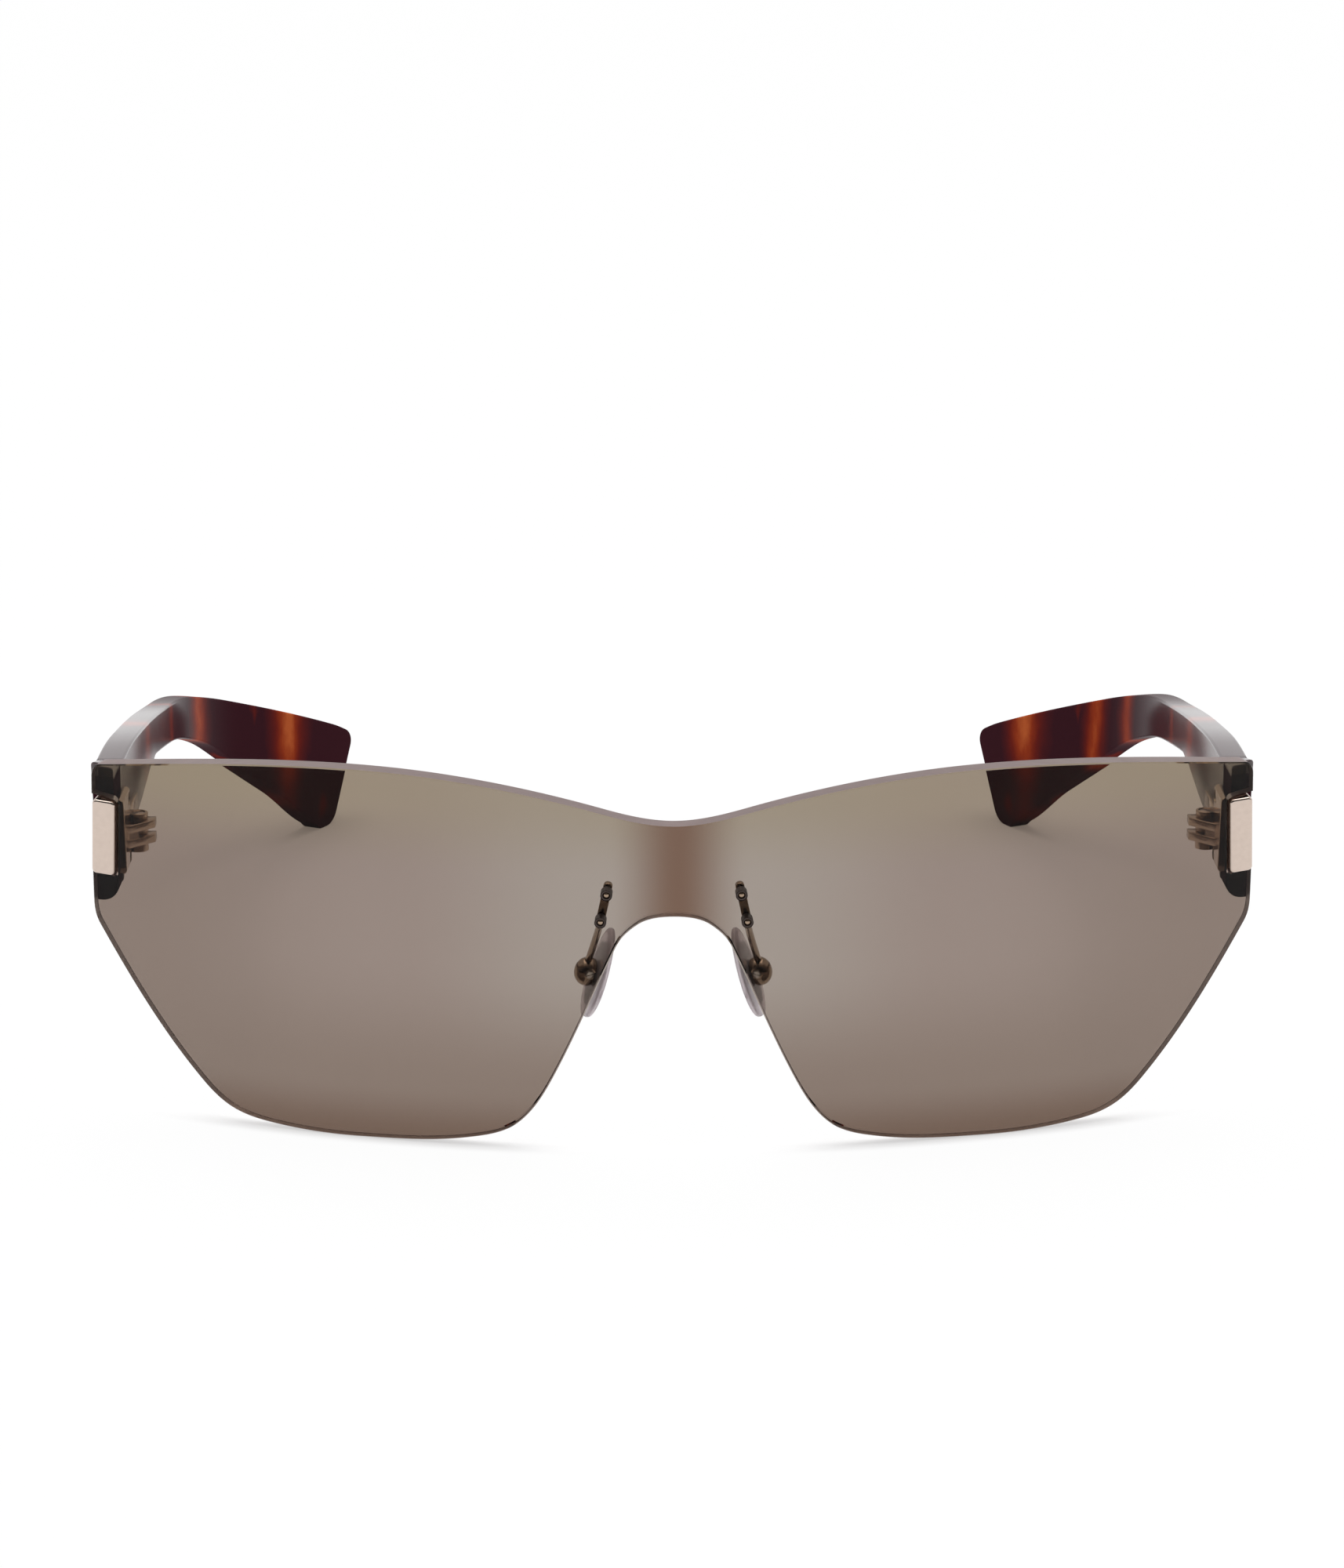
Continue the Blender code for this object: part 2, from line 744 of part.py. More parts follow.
def make_temple_hinge():
    """Rear half of the hinge: leaf on the temple and three knuckles."""
    leaf_high_x = ENDPIECE_INNER_X - SEAT_GAP
    leaf_low_x = leaf_high_x - LEAF_THICKNESS
    levels = knuckle_levels()
    leaf_outline = (
        (leaf_low_x, HINGE_Y),
        (leaf_high_x, HINGE_Y),
        (leaf_high_x, HINGE_Y + LEAF_LENGTH),
        (leaf_low_x, HINGE_Y + LEAF_LENGTH),
    )
    leaf = prism(leaf_outline, levels[0][0], levels[4][1])
    knuckles = []
    for index in (0, 2, 4):
        low, high = levels[index]
        barrel = moved(
            prism(circle(KNUCKLE_RADIUS), low, high),
            Matrix.Translation((HINGE_X, HINGE_Y, 0.0)),
        )
        arm_outline = (
            (HINGE_X, HINGE_Y),
            (leaf_high_x - LEAF_THICKNESS / 2, HINGE_Y),
            (leaf_high_x - LEAF_THICKNESS / 2, HINGE_Y + KNUCKLE_RADIUS * 0.98),
            (HINGE_X, HINGE_Y + KNUCKLE_RADIUS * 0.98),
        )
        knuckles += [barrel, prism(arm_outline, low, high)]
    body = join(leaf, knuckles)
    tools = [rod(
        (HINGE_X, HINGE_Y, levels[0][0] - OVERRUN),
        (HINGE_X, HINGE_Y, levels[4][1] + OVERRUN),
        HINGE_SCREW_RADIUS + SCREW_CLEARANCE,
    )]
    tools.append(rod(
        (HINGE_X, HINGE_Y, levels[4][1] - HINGE_HEAD_HEIGHT - KNUCKLE_GAP),
        (HINGE_X, HINGE_Y, levels[4][1] + OVERRUN),
        HINGE_SCREW_HEAD + SCREW_CLEARANCE,
    ))
    for along in (LEAF_FIXING_FIRST, LEAF_FIXING_SECOND):
        tools.append(rod(
            (leaf_low_x - OVERRUN, HINGE_Y + along, HINGE_HEIGHT),
            (leaf_high_x + OVERRUN, HINGE_Y + along, HINGE_HEIGHT),
            FIXING_RADIUS + SCREW_CLEARANCE,
            SMALL_SIDES,
        ))
    return cut(body, tools)


def make_leaf_fixing(along):
    """Screw that holds the temple's hinge leaf."""
    head_x = ENDPIECE_INNER_X - SEAT_GAP - LEAF_THICKNESS
    start = (head_x - FIXING_HEAD_HEIGHT - KNUCKLE_GAP, HINGE_Y + along, HINGE_HEIGHT)
    reach = ENDPIECE_INNER_X + FIXING_DEPTH - head_x
    return countersunk(
        start, (1, 0, 0), FIXING_HEAD, FIXING_HEAD_HEIGHT, FIXING_RADIUS, reach, SMALL_SIDES
    )


def temple_plan(count=600):
    """Plan of the temple's inner face: distance along, X, Y and heading from +Y.

    The heading is the straight start plus a slight outward bow, less the inward curl behind
    the ear, and the place is its running sum.
    """
    along = np.linspace(0.0, TEMPLE_LENGTH * 1.02, count)
    heading = BOW_ANGLE * smooth_step(along, BOW_START, BOW_LENGTH)
    heading = heading - CURL_ANGLE * smooth_step(along, CURL_START, CURL_LENGTH)
    step = along[1]
    x = ENDPIECE_INNER_X + np.concatenate([[0.0], np.cumsum(np.sin(heading[:-1]) * step)])
    y = JOINT_Y + JOINT_GAP + np.concatenate([[0.0], np.cumsum(np.cos(heading[:-1]) * step)])
    return along, x, y, heading


def temple_place(plan, along, outward, height):
    """World point at a distance along the temple, outward from its inner face."""
    x = float(np.interp(along, plan[0], plan[1]))
    y = float(np.interp(along, plan[0], plan[2]))
    heading = float(np.interp(along, plan[0], plan[3]))
    return (
        x + outward * math.cos(heading),
        y - outward * math.sin(heading),
        height,
    )


def temple_edges():
    """Lower and upper edge of the temple in its side view."""
    top = knot_curve(scaled_knots(TEMPLE_TOP_SHARES, TEMPLE_LENGTH, ENDPIECE_TOP), 6)
    low = knot_curve(scaled_knots(TEMPLE_LOW_SHARES, TEMPLE_LENGTH, ENDPIECE_TOP), 6)
    return low, top


def temple_sections():
    """Rows of (low along, low height, top along, top height, side inset) down the temple."""
    low, top = temple_edges()
    end = TEMPLE_LENGTH - TIP_LEAN
    middles = list(np.linspace(0.0, end - TIP_ROUND - FOOT_LENGTH, TEMPLE_STATIONS))
    middles.append(end - TIP_ROUND)
    rows = []
    for middle in middles:
        lean = TIP_LEAN * float(smooth_step(middle, TIP_LEAN_START, TIP_LEAN_LENGTH))
        rows.append((middle - lean, middle + lean, 0.0, 0.0))
    for step in range(1, CORNER_STEPS + 2):
        angle = 0.5 * math.pi * step / (CORNER_STEPS + 1)
        middle = end - TIP_ROUND * (1.0 - math.sin(angle))
        inset = TIP_ROUND * (1.0 - math.cos(angle))
        side = TIP_SOFTENING * (1.0 - math.cos(angle))
        rows.append((middle - TIP_LEAN, middle + TIP_LEAN, inset, side))
    sections = []
    for low_along, top_along, inset, side in rows:
        low_height = float(np.interp(low_along, low[:, 0], low[:, 1]))
        top_height = float(np.interp(top_along, top[:, 0], top[:, 1]))
        length = math.hypot(top_along - low_along, top_height - low_height)
        share = inset / length
        drift = share * (top_along - low_along)
        rise = share * (top_height - low_height)
        sections.append((
            low_along + drift,
            low_height + rise,
            top_along - drift,
            top_height - rise,
            side,
        ))
    return sections


def section_ring(plan, section):
    """Rounded rectangle across the temple at one section."""
    low_along, low_height, top_along, top_height, side = section
    half_height = math.hypot(top_along - low_along, top_height - low_height) / 2
    half_width = ACETATE_THICKNESS / 2 - side
    ring = []
    for outward, up in rounded_rectangle(half_width, half_height, TEMPLE_EDGE):
        share = 0.5 + 0.5 * up / half_height
        ring.append(temple_place(
            plan,
            low_along + share * (top_along - low_along),
            ACETATE_THICKNESS / 2 + outward,
            low_height + share * (top_height - low_height),
        ))
    return ring


def core_ring(plan, along, radius):
    """Circle of the core channel at a distance along the temple, a drop below its top."""
    _, top = temple_edges()
    drop = CORE_FRONT_DROP + (CORE_REAR_DROP - CORE_FRONT_DROP) * float(
        smooth_step(along, CORE_DROP_START, CORE_DROP_LENGTH)
    )
    centre = float(np.interp(along, top[:, 0], top[:, 1])) - drop
    return [
        temple_place(plan, along, ACETATE_THICKNESS / 2 + outward, centre + up)
        for outward, up in circle(radius, SMALL_SIDES)
    ]


def make_temple():
    """Acetate arm: sections down its length, less the core channel and the screw holes."""
    plan = temple_plan()
    body = loft([section_ring(plan, section) for section in temple_sections()])
    radius = CORE_RADIUS + CORE_CLEARANCE
    mouth = [(x, y - OVERRUN, z) for x, y, z in core_ring(plan, 0.0, radius)]
    stops = np.linspace(CORE_START, CORE_START + CORE_LENGTH + SEAT_GAP, CORE_STATIONS)
    tools = [loft([mouth] + [core_ring(plan, stop, radius) for stop in stops])]
    for along in (LEAF_FIXING_FIRST, LEAF_FIXING_SECOND):
        tools.append(rod(
            (ENDPIECE_INNER_X - ACETATE_THICKNESS, HINGE_Y + along, HINGE_HEIGHT),
            (ENDPIECE_INNER_X + FIXING_DEPTH + SEAT_GAP, HINGE_Y + along, HINGE_HEIGHT),
            FIXING_RADIUS + SCREW_CLEARANCE,
            SMALL_SIDES,
        ))
    return cut(body, tools)


def make_temple_core():
    """Metal core that stiffens the front two thirds of the temple."""
    plan = temple_plan()
    stops = np.linspace(CORE_START, CORE_START + CORE_LENGTH, CORE_STATIONS)
    return loft([core_ring(plan, stop, CORE_RADIUS) for stop in stops])


def pad_frame():
    """Placement of the nose pad about the box: X outboard, Y towards the face, Z up the pad."""
    splay = Matrix.Rotation(-PAD_SPLAY, 4, "Z")
    slant = Matrix.Rotation(-PAD_SLANT, 4, "Y")
    return Matrix.Translation(BOX_CENTRE) @ splay @ slant


def make_pad_arm():
    """Bar and two pins behind the lens, the bent wire and the pad box."""
    upper = Vector(ARM_UPPER_PIN)
    lower = Vector(ARM_LOWER_PIN)
    run = (upper - lower).normalized()
    seat = LENS_THICKNESS + ARM_BAR_GAP
    half_length = (upper - lower).length / 2 + ARM_BAR_OVERHANG
    middle = (upper + lower) / 2
    tilt = math.atan2(-run.x, run.y)
    bar_outline = rounded_rectangle(ARM_BAR_WIDTH / 2, half_length, ARM_BAR_WIDTH / 2.2)
    bar = prism(bar_outline, -seat - ARM_BAR_THICKNESS, -seat)
    frame = lens_frame(*middle)
    bar = moved(bar, frame @ Matrix.Rotation(tilt, 4, "Z"))
    pins = []
    for place in (upper, lower):
        pin = prism(
            circle(PIN_RADIUS, SMALL_SIDES),
            -seat - ARM_BAR_THICKNESS / 2,
            -SLEEVE_RECESS,
        )
        pins.append(moved(pin, lens_frame(*place)))

    foot = lower - run * ARM_BAR_OVERHANG * 0.6
    wire_start = lens_point(foot.x, foot.y, seat + ARM_BAR_THICKNESS / 2)
    box = Vector(BOX_CENTRE)
    box_top = box + Vector((0.0, 0.0, BOX_RADIUS * 0.6))
    route = []
    for step in range(9):
        share = step / 8
        flat = (1 - share) ** 2 * wire_start + 2 * (1 - share) * share * (
            wire_start + Vector((0.0, WIRE_RISE, -WIRE_RISE / 2))
        ) + share * share * box_top
        route.append(flat)
    wire = tube_along(route, WIRE_RADIUS, SMALL_SIDES)

    ball = bpy.data.meshes.new("ball")
    shape = bmesh.new()
    bmesh.ops.create_uvsphere(shape, u_segments=16, v_segments=10, radius=BOX_RADIUS)
    shape.to_mesh(ball)
    shape.free()
    ball.transform(Matrix.Scale(BOX_STRETCH_SHARE, 4, (0.0, 0.0, 1.0)))
    ball = moved(ball, pad_frame())
    body = join(bar, pins + [wire, ball])

    flat_cut = prism(
        rounded_rectangle(BOX_RADIUS, BOX_RADIUS * 2, BOX_RADIUS / 4),
        -BOX_RADIUS * 2,
        BOX_RADIUS * 2,
    )
    flat_cut = moved(
        flat_cut, pad_frame() @ Matrix.Translation((-BOX_CUT - BOX_RADIUS, 0.0, 0.0))
    )
    pocket = prism(
        (
            (-BOX_RADIUS * 2, -BOX_POCKET_WIDTH / 2),
            (BOX_POCKET_DEPTH, -BOX_POCKET_WIDTH / 2),
            (BOX_POCKET_DEPTH, BOX_POCKET_WIDTH / 2),
            (-BOX_RADIUS * 2, BOX_POCKET_WIDTH / 2),
        ),
        -BOX_POCKET_HEIGHT / 2,
        BOX_POCKET_HEIGHT / 2,
    )
    pocket = moved(pocket, pad_frame())
    bore = rod(
        (0.0, -BOX_RADIUS * 2, 0.0),
        (0.0, BOX_RADIUS * 2, 0.0),
        PAD_SCREW_RADIUS + SCREW_CLEARANCE,
        SMALL_SIDES,
    )
    return cut(body, [flat_cut, pocket, moved(bore, pad_frame())])


def make_pad_screw():
    """Small screw across the pad box, its head towards the lens."""
    proud = BOX_RADIUS + PAD_SCREW_PROUD
    screw = countersunk(
        (0.0, -proud - PAD_SCREW_HEAD_HEIGHT, 0.0),
        (0, 1, 0),
        PAD_SCREW_HEAD,
        PAD_SCREW_HEAD_HEIGHT,
        PAD_SCREW_RADIUS,
        proud * 2,
        SMALL_SIDES,
    )
    return moved(screw, pad_frame())


def pad_face_x():
    """X in the pad frame of the pad's outer face."""
    return -BOX_CUT - PAD_GAP


def make_pad_core():
    """Metal insert: a disc let into the pad and a drilled tab in the box."""
    face = pad_face_x()
    disc_outline = [
        (CORE_DISC_HALF_WIDTH * math.cos(turn), CORE_DISC_HALF_HEIGHT * math.sin(turn))
        for turn in (2.0 * math.pi * side / ROUND_SIDES for side in range(ROUND_SIDES))
    ]
    rings = [
        [(depth, y, z) for y, z in disc_outline]
        for depth in (face - CORE_DISC_THICKNESS, face)
    ]
    disc = loft(rings)
    tab_outline = rounded_rectangle(
        (TAB_OVERRUN - face + OVERRUN / 2) / 2, TAB_HEIGHT / 2, TAB_HEIGHT / 2.5
    )
    middle = (TAB_OVERRUN + face - OVERRUN / 2) / 2
    tab = loft([
        [(middle + x, depth, z) for x, z in tab_outline]
        for depth in (-TAB_WIDTH / 2, TAB_WIDTH / 2)
    ])
    body = join(disc, [tab])
    hole = rod((0.0, -TAB_WIDTH, 0.0), (0.0, TAB_WIDTH, 0.0), TAB_HOLE, SMALL_SIDES)
    return moved(cut(body, [hole]), pad_frame())


def make_nose_pad():
    """Silicone pad: egg outline, domed on both faces, with a pocket for the insert."""
    face = pad_face_x()
    sides = ROUND_SIDES + ROUND_SIDES // 2
    layers = (
        (0.45, 0.0),
        (0.80, PAD_DOME / 3),
        (0.97, PAD_DOME),
        (1.00, PAD_THICKNESS * 0.45),
        (0.96, PAD_THICKNESS * 0.72),
        (0.80, PAD_THICKNESS * 0.90),
        (0.45, PAD_THICKNESS),
    )
    rings = []
    for size, depth in layers:
        ring = []
        for side in range(sides):
            turn = 2.0 * math.pi * side / sides
            taper = 1.0 - PAD_TAPER_SHARE * math.sin(turn)
            ring.append((
                face - depth,
                PAD_HALF_WIDTH * size * taper * math.cos(turn),
                PAD_HALF_HEIGHT * size * math.sin(turn),
            ))
        rings.append(ring)
    body = loft(rings)
    pocket_outline = [
        (
            (CORE_DISC_HALF_WIDTH + CORE_DISC_CLEARANCE) * math.cos(turn),
            (CORE_DISC_HALF_HEIGHT + CORE_DISC_CLEARANCE) * math.sin(turn),
        )
        for turn in (2.0 * math.pi * side / ROUND_SIDES for side in range(ROUND_SIDES))
    ]
    pocket = loft([
        [(depth, y, z) for y, z in pocket_outline]
        for depth in (face - CORE_DISC_THICKNESS - CORE_DISC_CLEARANCE, face + OVERRUN)
    ])
    return moved(cut(body, [pocket]), pad_frame())


def make_sleeve(place):
    """Nylon sleeve that holds one pin of a pad arm in the lens."""
    low = -LENS_THICKNESS + SLEEVE_RECESS
    high = -SLEEVE_RECESS
    outer = circle(SLEEVE_OUTER, SMALL_SIDES)
    inner = circle(SLEEVE_INNER, SMALL_SIDES)
    rings = [(outer, low), (outer, high), (inner, high), (inner, low)]
    points = [(x, y, height) for outline, height in rings for x, y in outline]
    faces = []
    for ring in range(4):
        for side in range(SMALL_SIDES):
            near = ring * SMALL_SIDES + side
            next_near = ring * SMALL_SIDES + (side + 1) % SMALL_SIDES
            far = ((ring + 1) % 4) * SMALL_SIDES + side
            next_far = ((ring + 1) % 4) * SMALL_SIDES + (side + 1) % SMALL_SIDES
            faces.append((near, next_near, next_far, far))
    return moved(mesh_from(points, faces), lens_frame(*place))


def add_empty(name, place, parent):
    """Empty that carries a body: its place is the joint."""
    empty = bpy.data.objects.new(name, None)
    bpy.context.collection.objects.link(empty)
    empty.location = place
    empty.parent = parent
    return empty


def add_part(name, mesh, finish, carrier, origin=(0.0, 0.0, 0.0), side=1, smooth=None):
    """Named object for one piece, on its carrier, with its origin on the joint."""
    shape = mirrored(mesh, side)
    shape.name = name
    shape.transform(Matrix.Translation(-Vector(origin)))
    shape.materials.clear()
    shape.materials.append(MATERIALS[finish])
    if smooth is not None:
        shape.shade_smooth()
        shape.set_sharp_from_angle(angle=math.radians(smooth))
    part = bpy.data.objects.new(name, shape)
    bpy.context.collection.objects.link(part)
    part.parent = carrier
    return part


def build():
    """All pieces, the front first and then each side's temple and nose pad."""
    # The origin lies under the middle of the whole: half way between the front of the lens
    # at the middle dip and the end of the temples
    front_y = min(lens_point(across, up, 0.0).y for across, up in lens_chains()[1])
    temple_rings = [section_ring(temple_plan(), section) for section in temple_sections()]
    rear_y = max(point[1] for ring in temple_rings for point in ring)
    root = add_empty("front_origin", (0.0, -(front_y + rear_y) / 2, 0.0), None)

    add_part("shield_lens", make_lens(), "lens_tint", root, smooth=20)
    shapes = {
        "endpiece": (make_endpiece(), "tortoise_acetate"),
        "corner_plate": (make_corner_plate(), "pale_gold"),
        "hinge_block": (make_hinge_block(), "pale_gold"),
        "block_screw_lower": (make_block_fixing(fixing_heights()[0]), "steel"),
        "block_screw_upper": (make_block_fixing(fixing_heights()[1]), "steel"),
        "pad_arm": (make_pad_arm(), "pale_gold"),
        "pad_sleeve_upper": (make_sleeve(ARM_UPPER_PIN), "nylon"),
        "pad_sleeve_lower": (make_sleeve(ARM_LOWER_PIN), "nylon"),
        "pad_screw": (make_pad_screw(), "steel"),
    }
    temple_shapes = {
        "temple": (make_temple(), "tortoise_acetate"),
        "temple_core": (make_temple_core(), "steel"),
        "temple_hinge": (make_temple_hinge(), "pale_gold"),
        "hinge_screw": (make_hinge_screw(), "pale_gold"),
        "leaf_screw_front": (make_leaf_fixing(LEAF_FIXING_FIRST), "steel"),
        "leaf_screw_rear": (make_leaf_fixing(LEAF_FIXING_SECOND), "steel"),
    }
    pad_shapes = {
        "nose_pad": (make_nose_pad(), "clear_silicone"),
        "pad_core": (make_pad_core(), "steel"),
    }
    for side_name, side in (("left", -1), ("right", 1)):
        for piece, (mesh, finish) in shapes.items():
            add_part(f"{side_name}_{piece}", mesh, finish, root, side=side, smooth=30)
        hinge = (side * HINGE_X, HINGE_Y, HINGE_HEIGHT)
        temple_pivot = add_empty(f"{side_name}_temple_pivot", hinge, root)
        for piece, (mesh, finish) in temple_shapes.items():
            add_part(f"{side_name}_{piece}", mesh, finish, temple_pivot, hinge, side, 30)
        box = (side * BOX_CENTRE[0], BOX_CENTRE[1], BOX_CENTRE[2])
        pad_pivot = add_empty(f"{side_name}_pad_pivot", box, root)
        for piece, (mesh, finish) in pad_shapes.items():
            add_part(f"{side_name}_{piece}", mesh, finish, pad_pivot, box, side, 30)


for old in list(bpy.data.objects):
    bpy.data.objects.remove(old)
MATERIALS = {name: make_material(name) for name in FINISHES}
LENS_LIFT = 0.0
LENS_LIFT = lens_lift()
JOINT_Y = ENDPIECE_DEPTH + lens_back_y(
    ENDPIECE_INNER_X + ACETATE_THICKNESS / 2, ENDPIECE_BOTTOM, LENS_THICKNESS
)
HINGE_X = ENDPIECE_INNER_X - HINGE_OFFSET
HINGE_Y = JOINT_Y + HINGE_SETBACK
build()
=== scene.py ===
# %% [markdown]
# # Rimless shield sunglasses
#
# The real object is one curved, tinted lens with nothing round it. Two acetate temples fold on
# five-barrel hinges behind its ends, polished metal plates fill a notch at each end, and two
# clear pads stand on bent arms behind the nose arch. The hard shapes come packed from CAD. This
# lesson rebuilds the visible ones as fine surfaces, each worked out as a formula on a grid, and
# gives every finish a procedural material.

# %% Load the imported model
import math

import bmesh
import bpy
import numpy as np
from mathutils import Matrix, Vector


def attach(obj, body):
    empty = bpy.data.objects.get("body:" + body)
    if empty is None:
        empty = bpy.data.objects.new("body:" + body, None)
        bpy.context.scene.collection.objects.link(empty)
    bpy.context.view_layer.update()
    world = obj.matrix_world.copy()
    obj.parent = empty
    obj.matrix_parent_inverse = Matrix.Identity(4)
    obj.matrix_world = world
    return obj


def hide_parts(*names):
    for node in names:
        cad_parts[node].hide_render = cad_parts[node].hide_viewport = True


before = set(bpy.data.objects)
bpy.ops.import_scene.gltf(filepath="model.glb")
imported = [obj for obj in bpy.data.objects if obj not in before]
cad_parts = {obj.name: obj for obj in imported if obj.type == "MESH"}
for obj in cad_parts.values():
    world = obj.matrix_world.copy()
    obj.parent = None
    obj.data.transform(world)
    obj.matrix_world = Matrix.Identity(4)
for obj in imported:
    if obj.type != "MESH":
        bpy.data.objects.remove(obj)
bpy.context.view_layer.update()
MM = 0.001
SIDES = ((-1, "left"), (1, "right"))
print("nodes:", len(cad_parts))

# %% [markdown]
# ## Camera
#
# The photograph looks down at the front from half a metre away. A long lens keeps the far
# temple tips nearly as large as the front. The picture's centre is the camera's centre, so no
# shift is needed. The glasses were turned by half a degree on the table; here the camera goes
# round them by the same angle instead, which leaves the model square to its axes.

# %% Camera at the photograph's angle
CAMERA_DISTANCE = 512.62 * MM
CAMERA_HEIGHT = 187.64 * MM
CAMERA_PITCH = math.radians(15.3)
CAMERA_TURN = math.radians(0.45)
CAMERA_SLIDE = 0.2 * MM
FRONT_Y = -75.5244 * MM
FOCAL_LENGTH_MM = 100.0
SENSOR_HEIGHT_MM = 36.0

camera_data = bpy.data.cameras.new("photo_camera")
camera_data.sensor_fit = "VERTICAL"
camera_data.sensor_height = SENSOR_HEIGHT_MM
camera_data.lens = FOCAL_LENGTH_MM
camera_data.clip_start = 10 * MM


def linked(name, data):
    """New object in the scene that shows this data."""
    made = bpy.data.objects.new(name, data)
    bpy.context.scene.collection.objects.link(made)
    return made


camera = linked("photo_camera", camera_data)
camera.matrix_world = (
    Matrix.Translation((0.0, FRONT_Y, 0.0))
    @ Matrix.Rotation(-CAMERA_TURN, 4, "Z")
    @ Matrix.Translation((-CAMERA_SLIDE, -CAMERA_DISTANCE, CAMERA_HEIGHT))
    @ Matrix.Rotation(math.pi / 2 - CAMERA_PITCH, 4, "X")
)
bpy.context.scene.camera = camera
bpy.context.scene.view_settings.view_transform = "Standard"
print("camera at", [round(value, 4) for value in camera.matrix_world.translation])

# %% [markdown]
# ## Shader sums as Python
#
# A material's pattern is arithmetic on coordinates. Wiring it by hand hides the formula, so one
# small class wraps a node's output and lets Python's operators add the Math nodes.

# %% A socket with operators


class Value:
    """One output of a node. Sums, products and powers of it add Math nodes."""

    def __init__(self, tree, socket):
        self.tree = tree
        self.socket = socket


def math_method(operation, reflected=False):
    """Method that adds a Math node on a value and another one, or on the two turned round."""

    def method(self, other=0.0):
        first, second = (other, self) if reflected else (self, other)
        return add(self.tree, "ShaderNodeMath", {"operation": operation}, {0: first, 1: second})

    return method


OPERATORS = {
    "add": "ADD", "sub": "SUBTRACT", "mul": "MULTIPLY", "truediv": "DIVIDE", "pow": "POWER",
}
for operator, operation in OPERATORS.items():
    setattr(Value, f"__{operator}__", math_method(operation))
    setattr(Value, f"__r{operator}__", math_method(operation, reflected=True))
Value.__abs__ = math_method("ABSOLUTE")
Value.larger = math_method("MAXIMUM")
Value.smaller = math_method("MINIMUM")


def opaque(colour):
    """Three numbers of a colour with full alpha after them."""
    return (*colour, 1.0)


def add(tree, kind, settings, inputs, output=0):
    """Add a node: its settings first, then the values or links of its sockets."""
    node = tree.nodes.new(kind)
    for key, value in settings.items():
        if key == "stops":
            ramp = node.color_ramp
            while len(ramp.elements) < len(value):
                ramp.elements.new(0.5)
            for element, (place, colour) in zip(ramp.elements, value):
                element.position = place
                element.color = opaque(colour)
        else:
            setattr(node, key, value)
    for key, value in inputs.items():
        if isinstance(value, Value):
            tree.links.new(value.socket, node.inputs[key])
        else:
            node.inputs[key].default_value = value
    return Value(tree, node.outputs[output])


def rise(value, start, end, low=0.0, high=1.0):
    """Smooth step of a value from low at start to high at end."""
    settings = {"interpolation_type": "SMOOTHSTEP"}
    inputs = {0: value, 1: start, 2: end, 3: low, 4: high}
    return add(value.tree, "ShaderNodeMapRange", settings, inputs)


def between(share, low, high):
    """Number between two others by a share from 0 to 1."""
    return low + share * (high - low)


def mix(share, first, second):
    """Colour between two others, each another mix or three numbers, by a share."""
    ends = [part if isinstance(part, Value) else opaque(part) for part in (first, second)]
    inputs = {0: share, 6: ends[0], 7: ends[1]}
    return add(share.tree, "ShaderNodeMix", {"data_type": "RGBA"}, inputs, 2)


def axes(vector):
    """X, Y and Z of a vector."""
    return [add(vector.tree, "ShaderNodeSeparateXYZ", {}, {0: vector}, axis) for axis in "XYZ"]


def object_place(tree):
    """X, Y and Z of the shaded point in metres, from Object coordinates."""
    return axes(add(tree, "ShaderNodeTexCoord", {}, {}, "Object"))


def noise(place, scale, detail=2.0, roughness=0.5, stretch=(1.0, 1.0, 1.0)):
    """Soft noise from 0 to 1 over X, Y and Z, finer along an axis with a larger stretch."""
    tree = place[0].tree
    parts = {axis: place[axis] * stretch[axis] for axis in range(3)}
    vector = add(tree, "ShaderNodeCombineXYZ", {}, parts)
    inputs = {"Vector": vector, "Scale": scale, "Detail": detail, "Roughness": roughness}
    return add(tree, "ShaderNodeTexNoise", {}, inputs, "Fac")


def new_finish(name, colour, roughness, metallic=0.0, **fixed):
    """Principled material with its fixed values set on the shader's own sockets."""
    material = bpy.data.materials.new(name)
    material.use_nodes = True
    tree = material.node_tree
    shader = tree.nodes["Principled BSDF"]
    fixed.update(Base_Color=opaque(colour), Roughness=roughness, Metallic=metallic)
    for socket, value in fixed.items():
        shader.inputs[socket.replace("_", " ")].default_value = value
    return material, tree, shader


def drive(shader, socket, value):
    """Let a worked out value feed one of a node's sockets."""
    value.tree.links.new(value.socket, shader.inputs[socket])


def dented(shader, height, depth):
    """Let a height pattern tilt the surface: a Bump node that feeds Normal."""
    inputs = {"Strength": 1.0, "Distance": depth, "Height": height}
    drive(shader, "Normal", add(height.tree, "ShaderNodeBump", {}, inputs))


print("shader helpers ready")

# %% [markdown]
# ## The bend of the lens
#
# The lens is a sheet bent round an upright cylinder and leaned forward. A point has three
# numbers: how far across (an arc length), how far up, and how deep behind the front face. One
# function turns these into a place, so notches, sleeves and pad arms all sit on the same curve.
# The lens stands on its lowest points, so the whole sheet is lifted until they touch zero.

# %% Lens sizes and outline
LENS_RADIUS = 150.0 * MM
LENS_HALF_WIDTH = 76.4 * MM
LENS_HEIGHT = 50.9 * MM
LENS_THICKNESS = 2.0 * MM
LENS_LEAN = math.radians(9.0)
CURVE_STEPS = 48

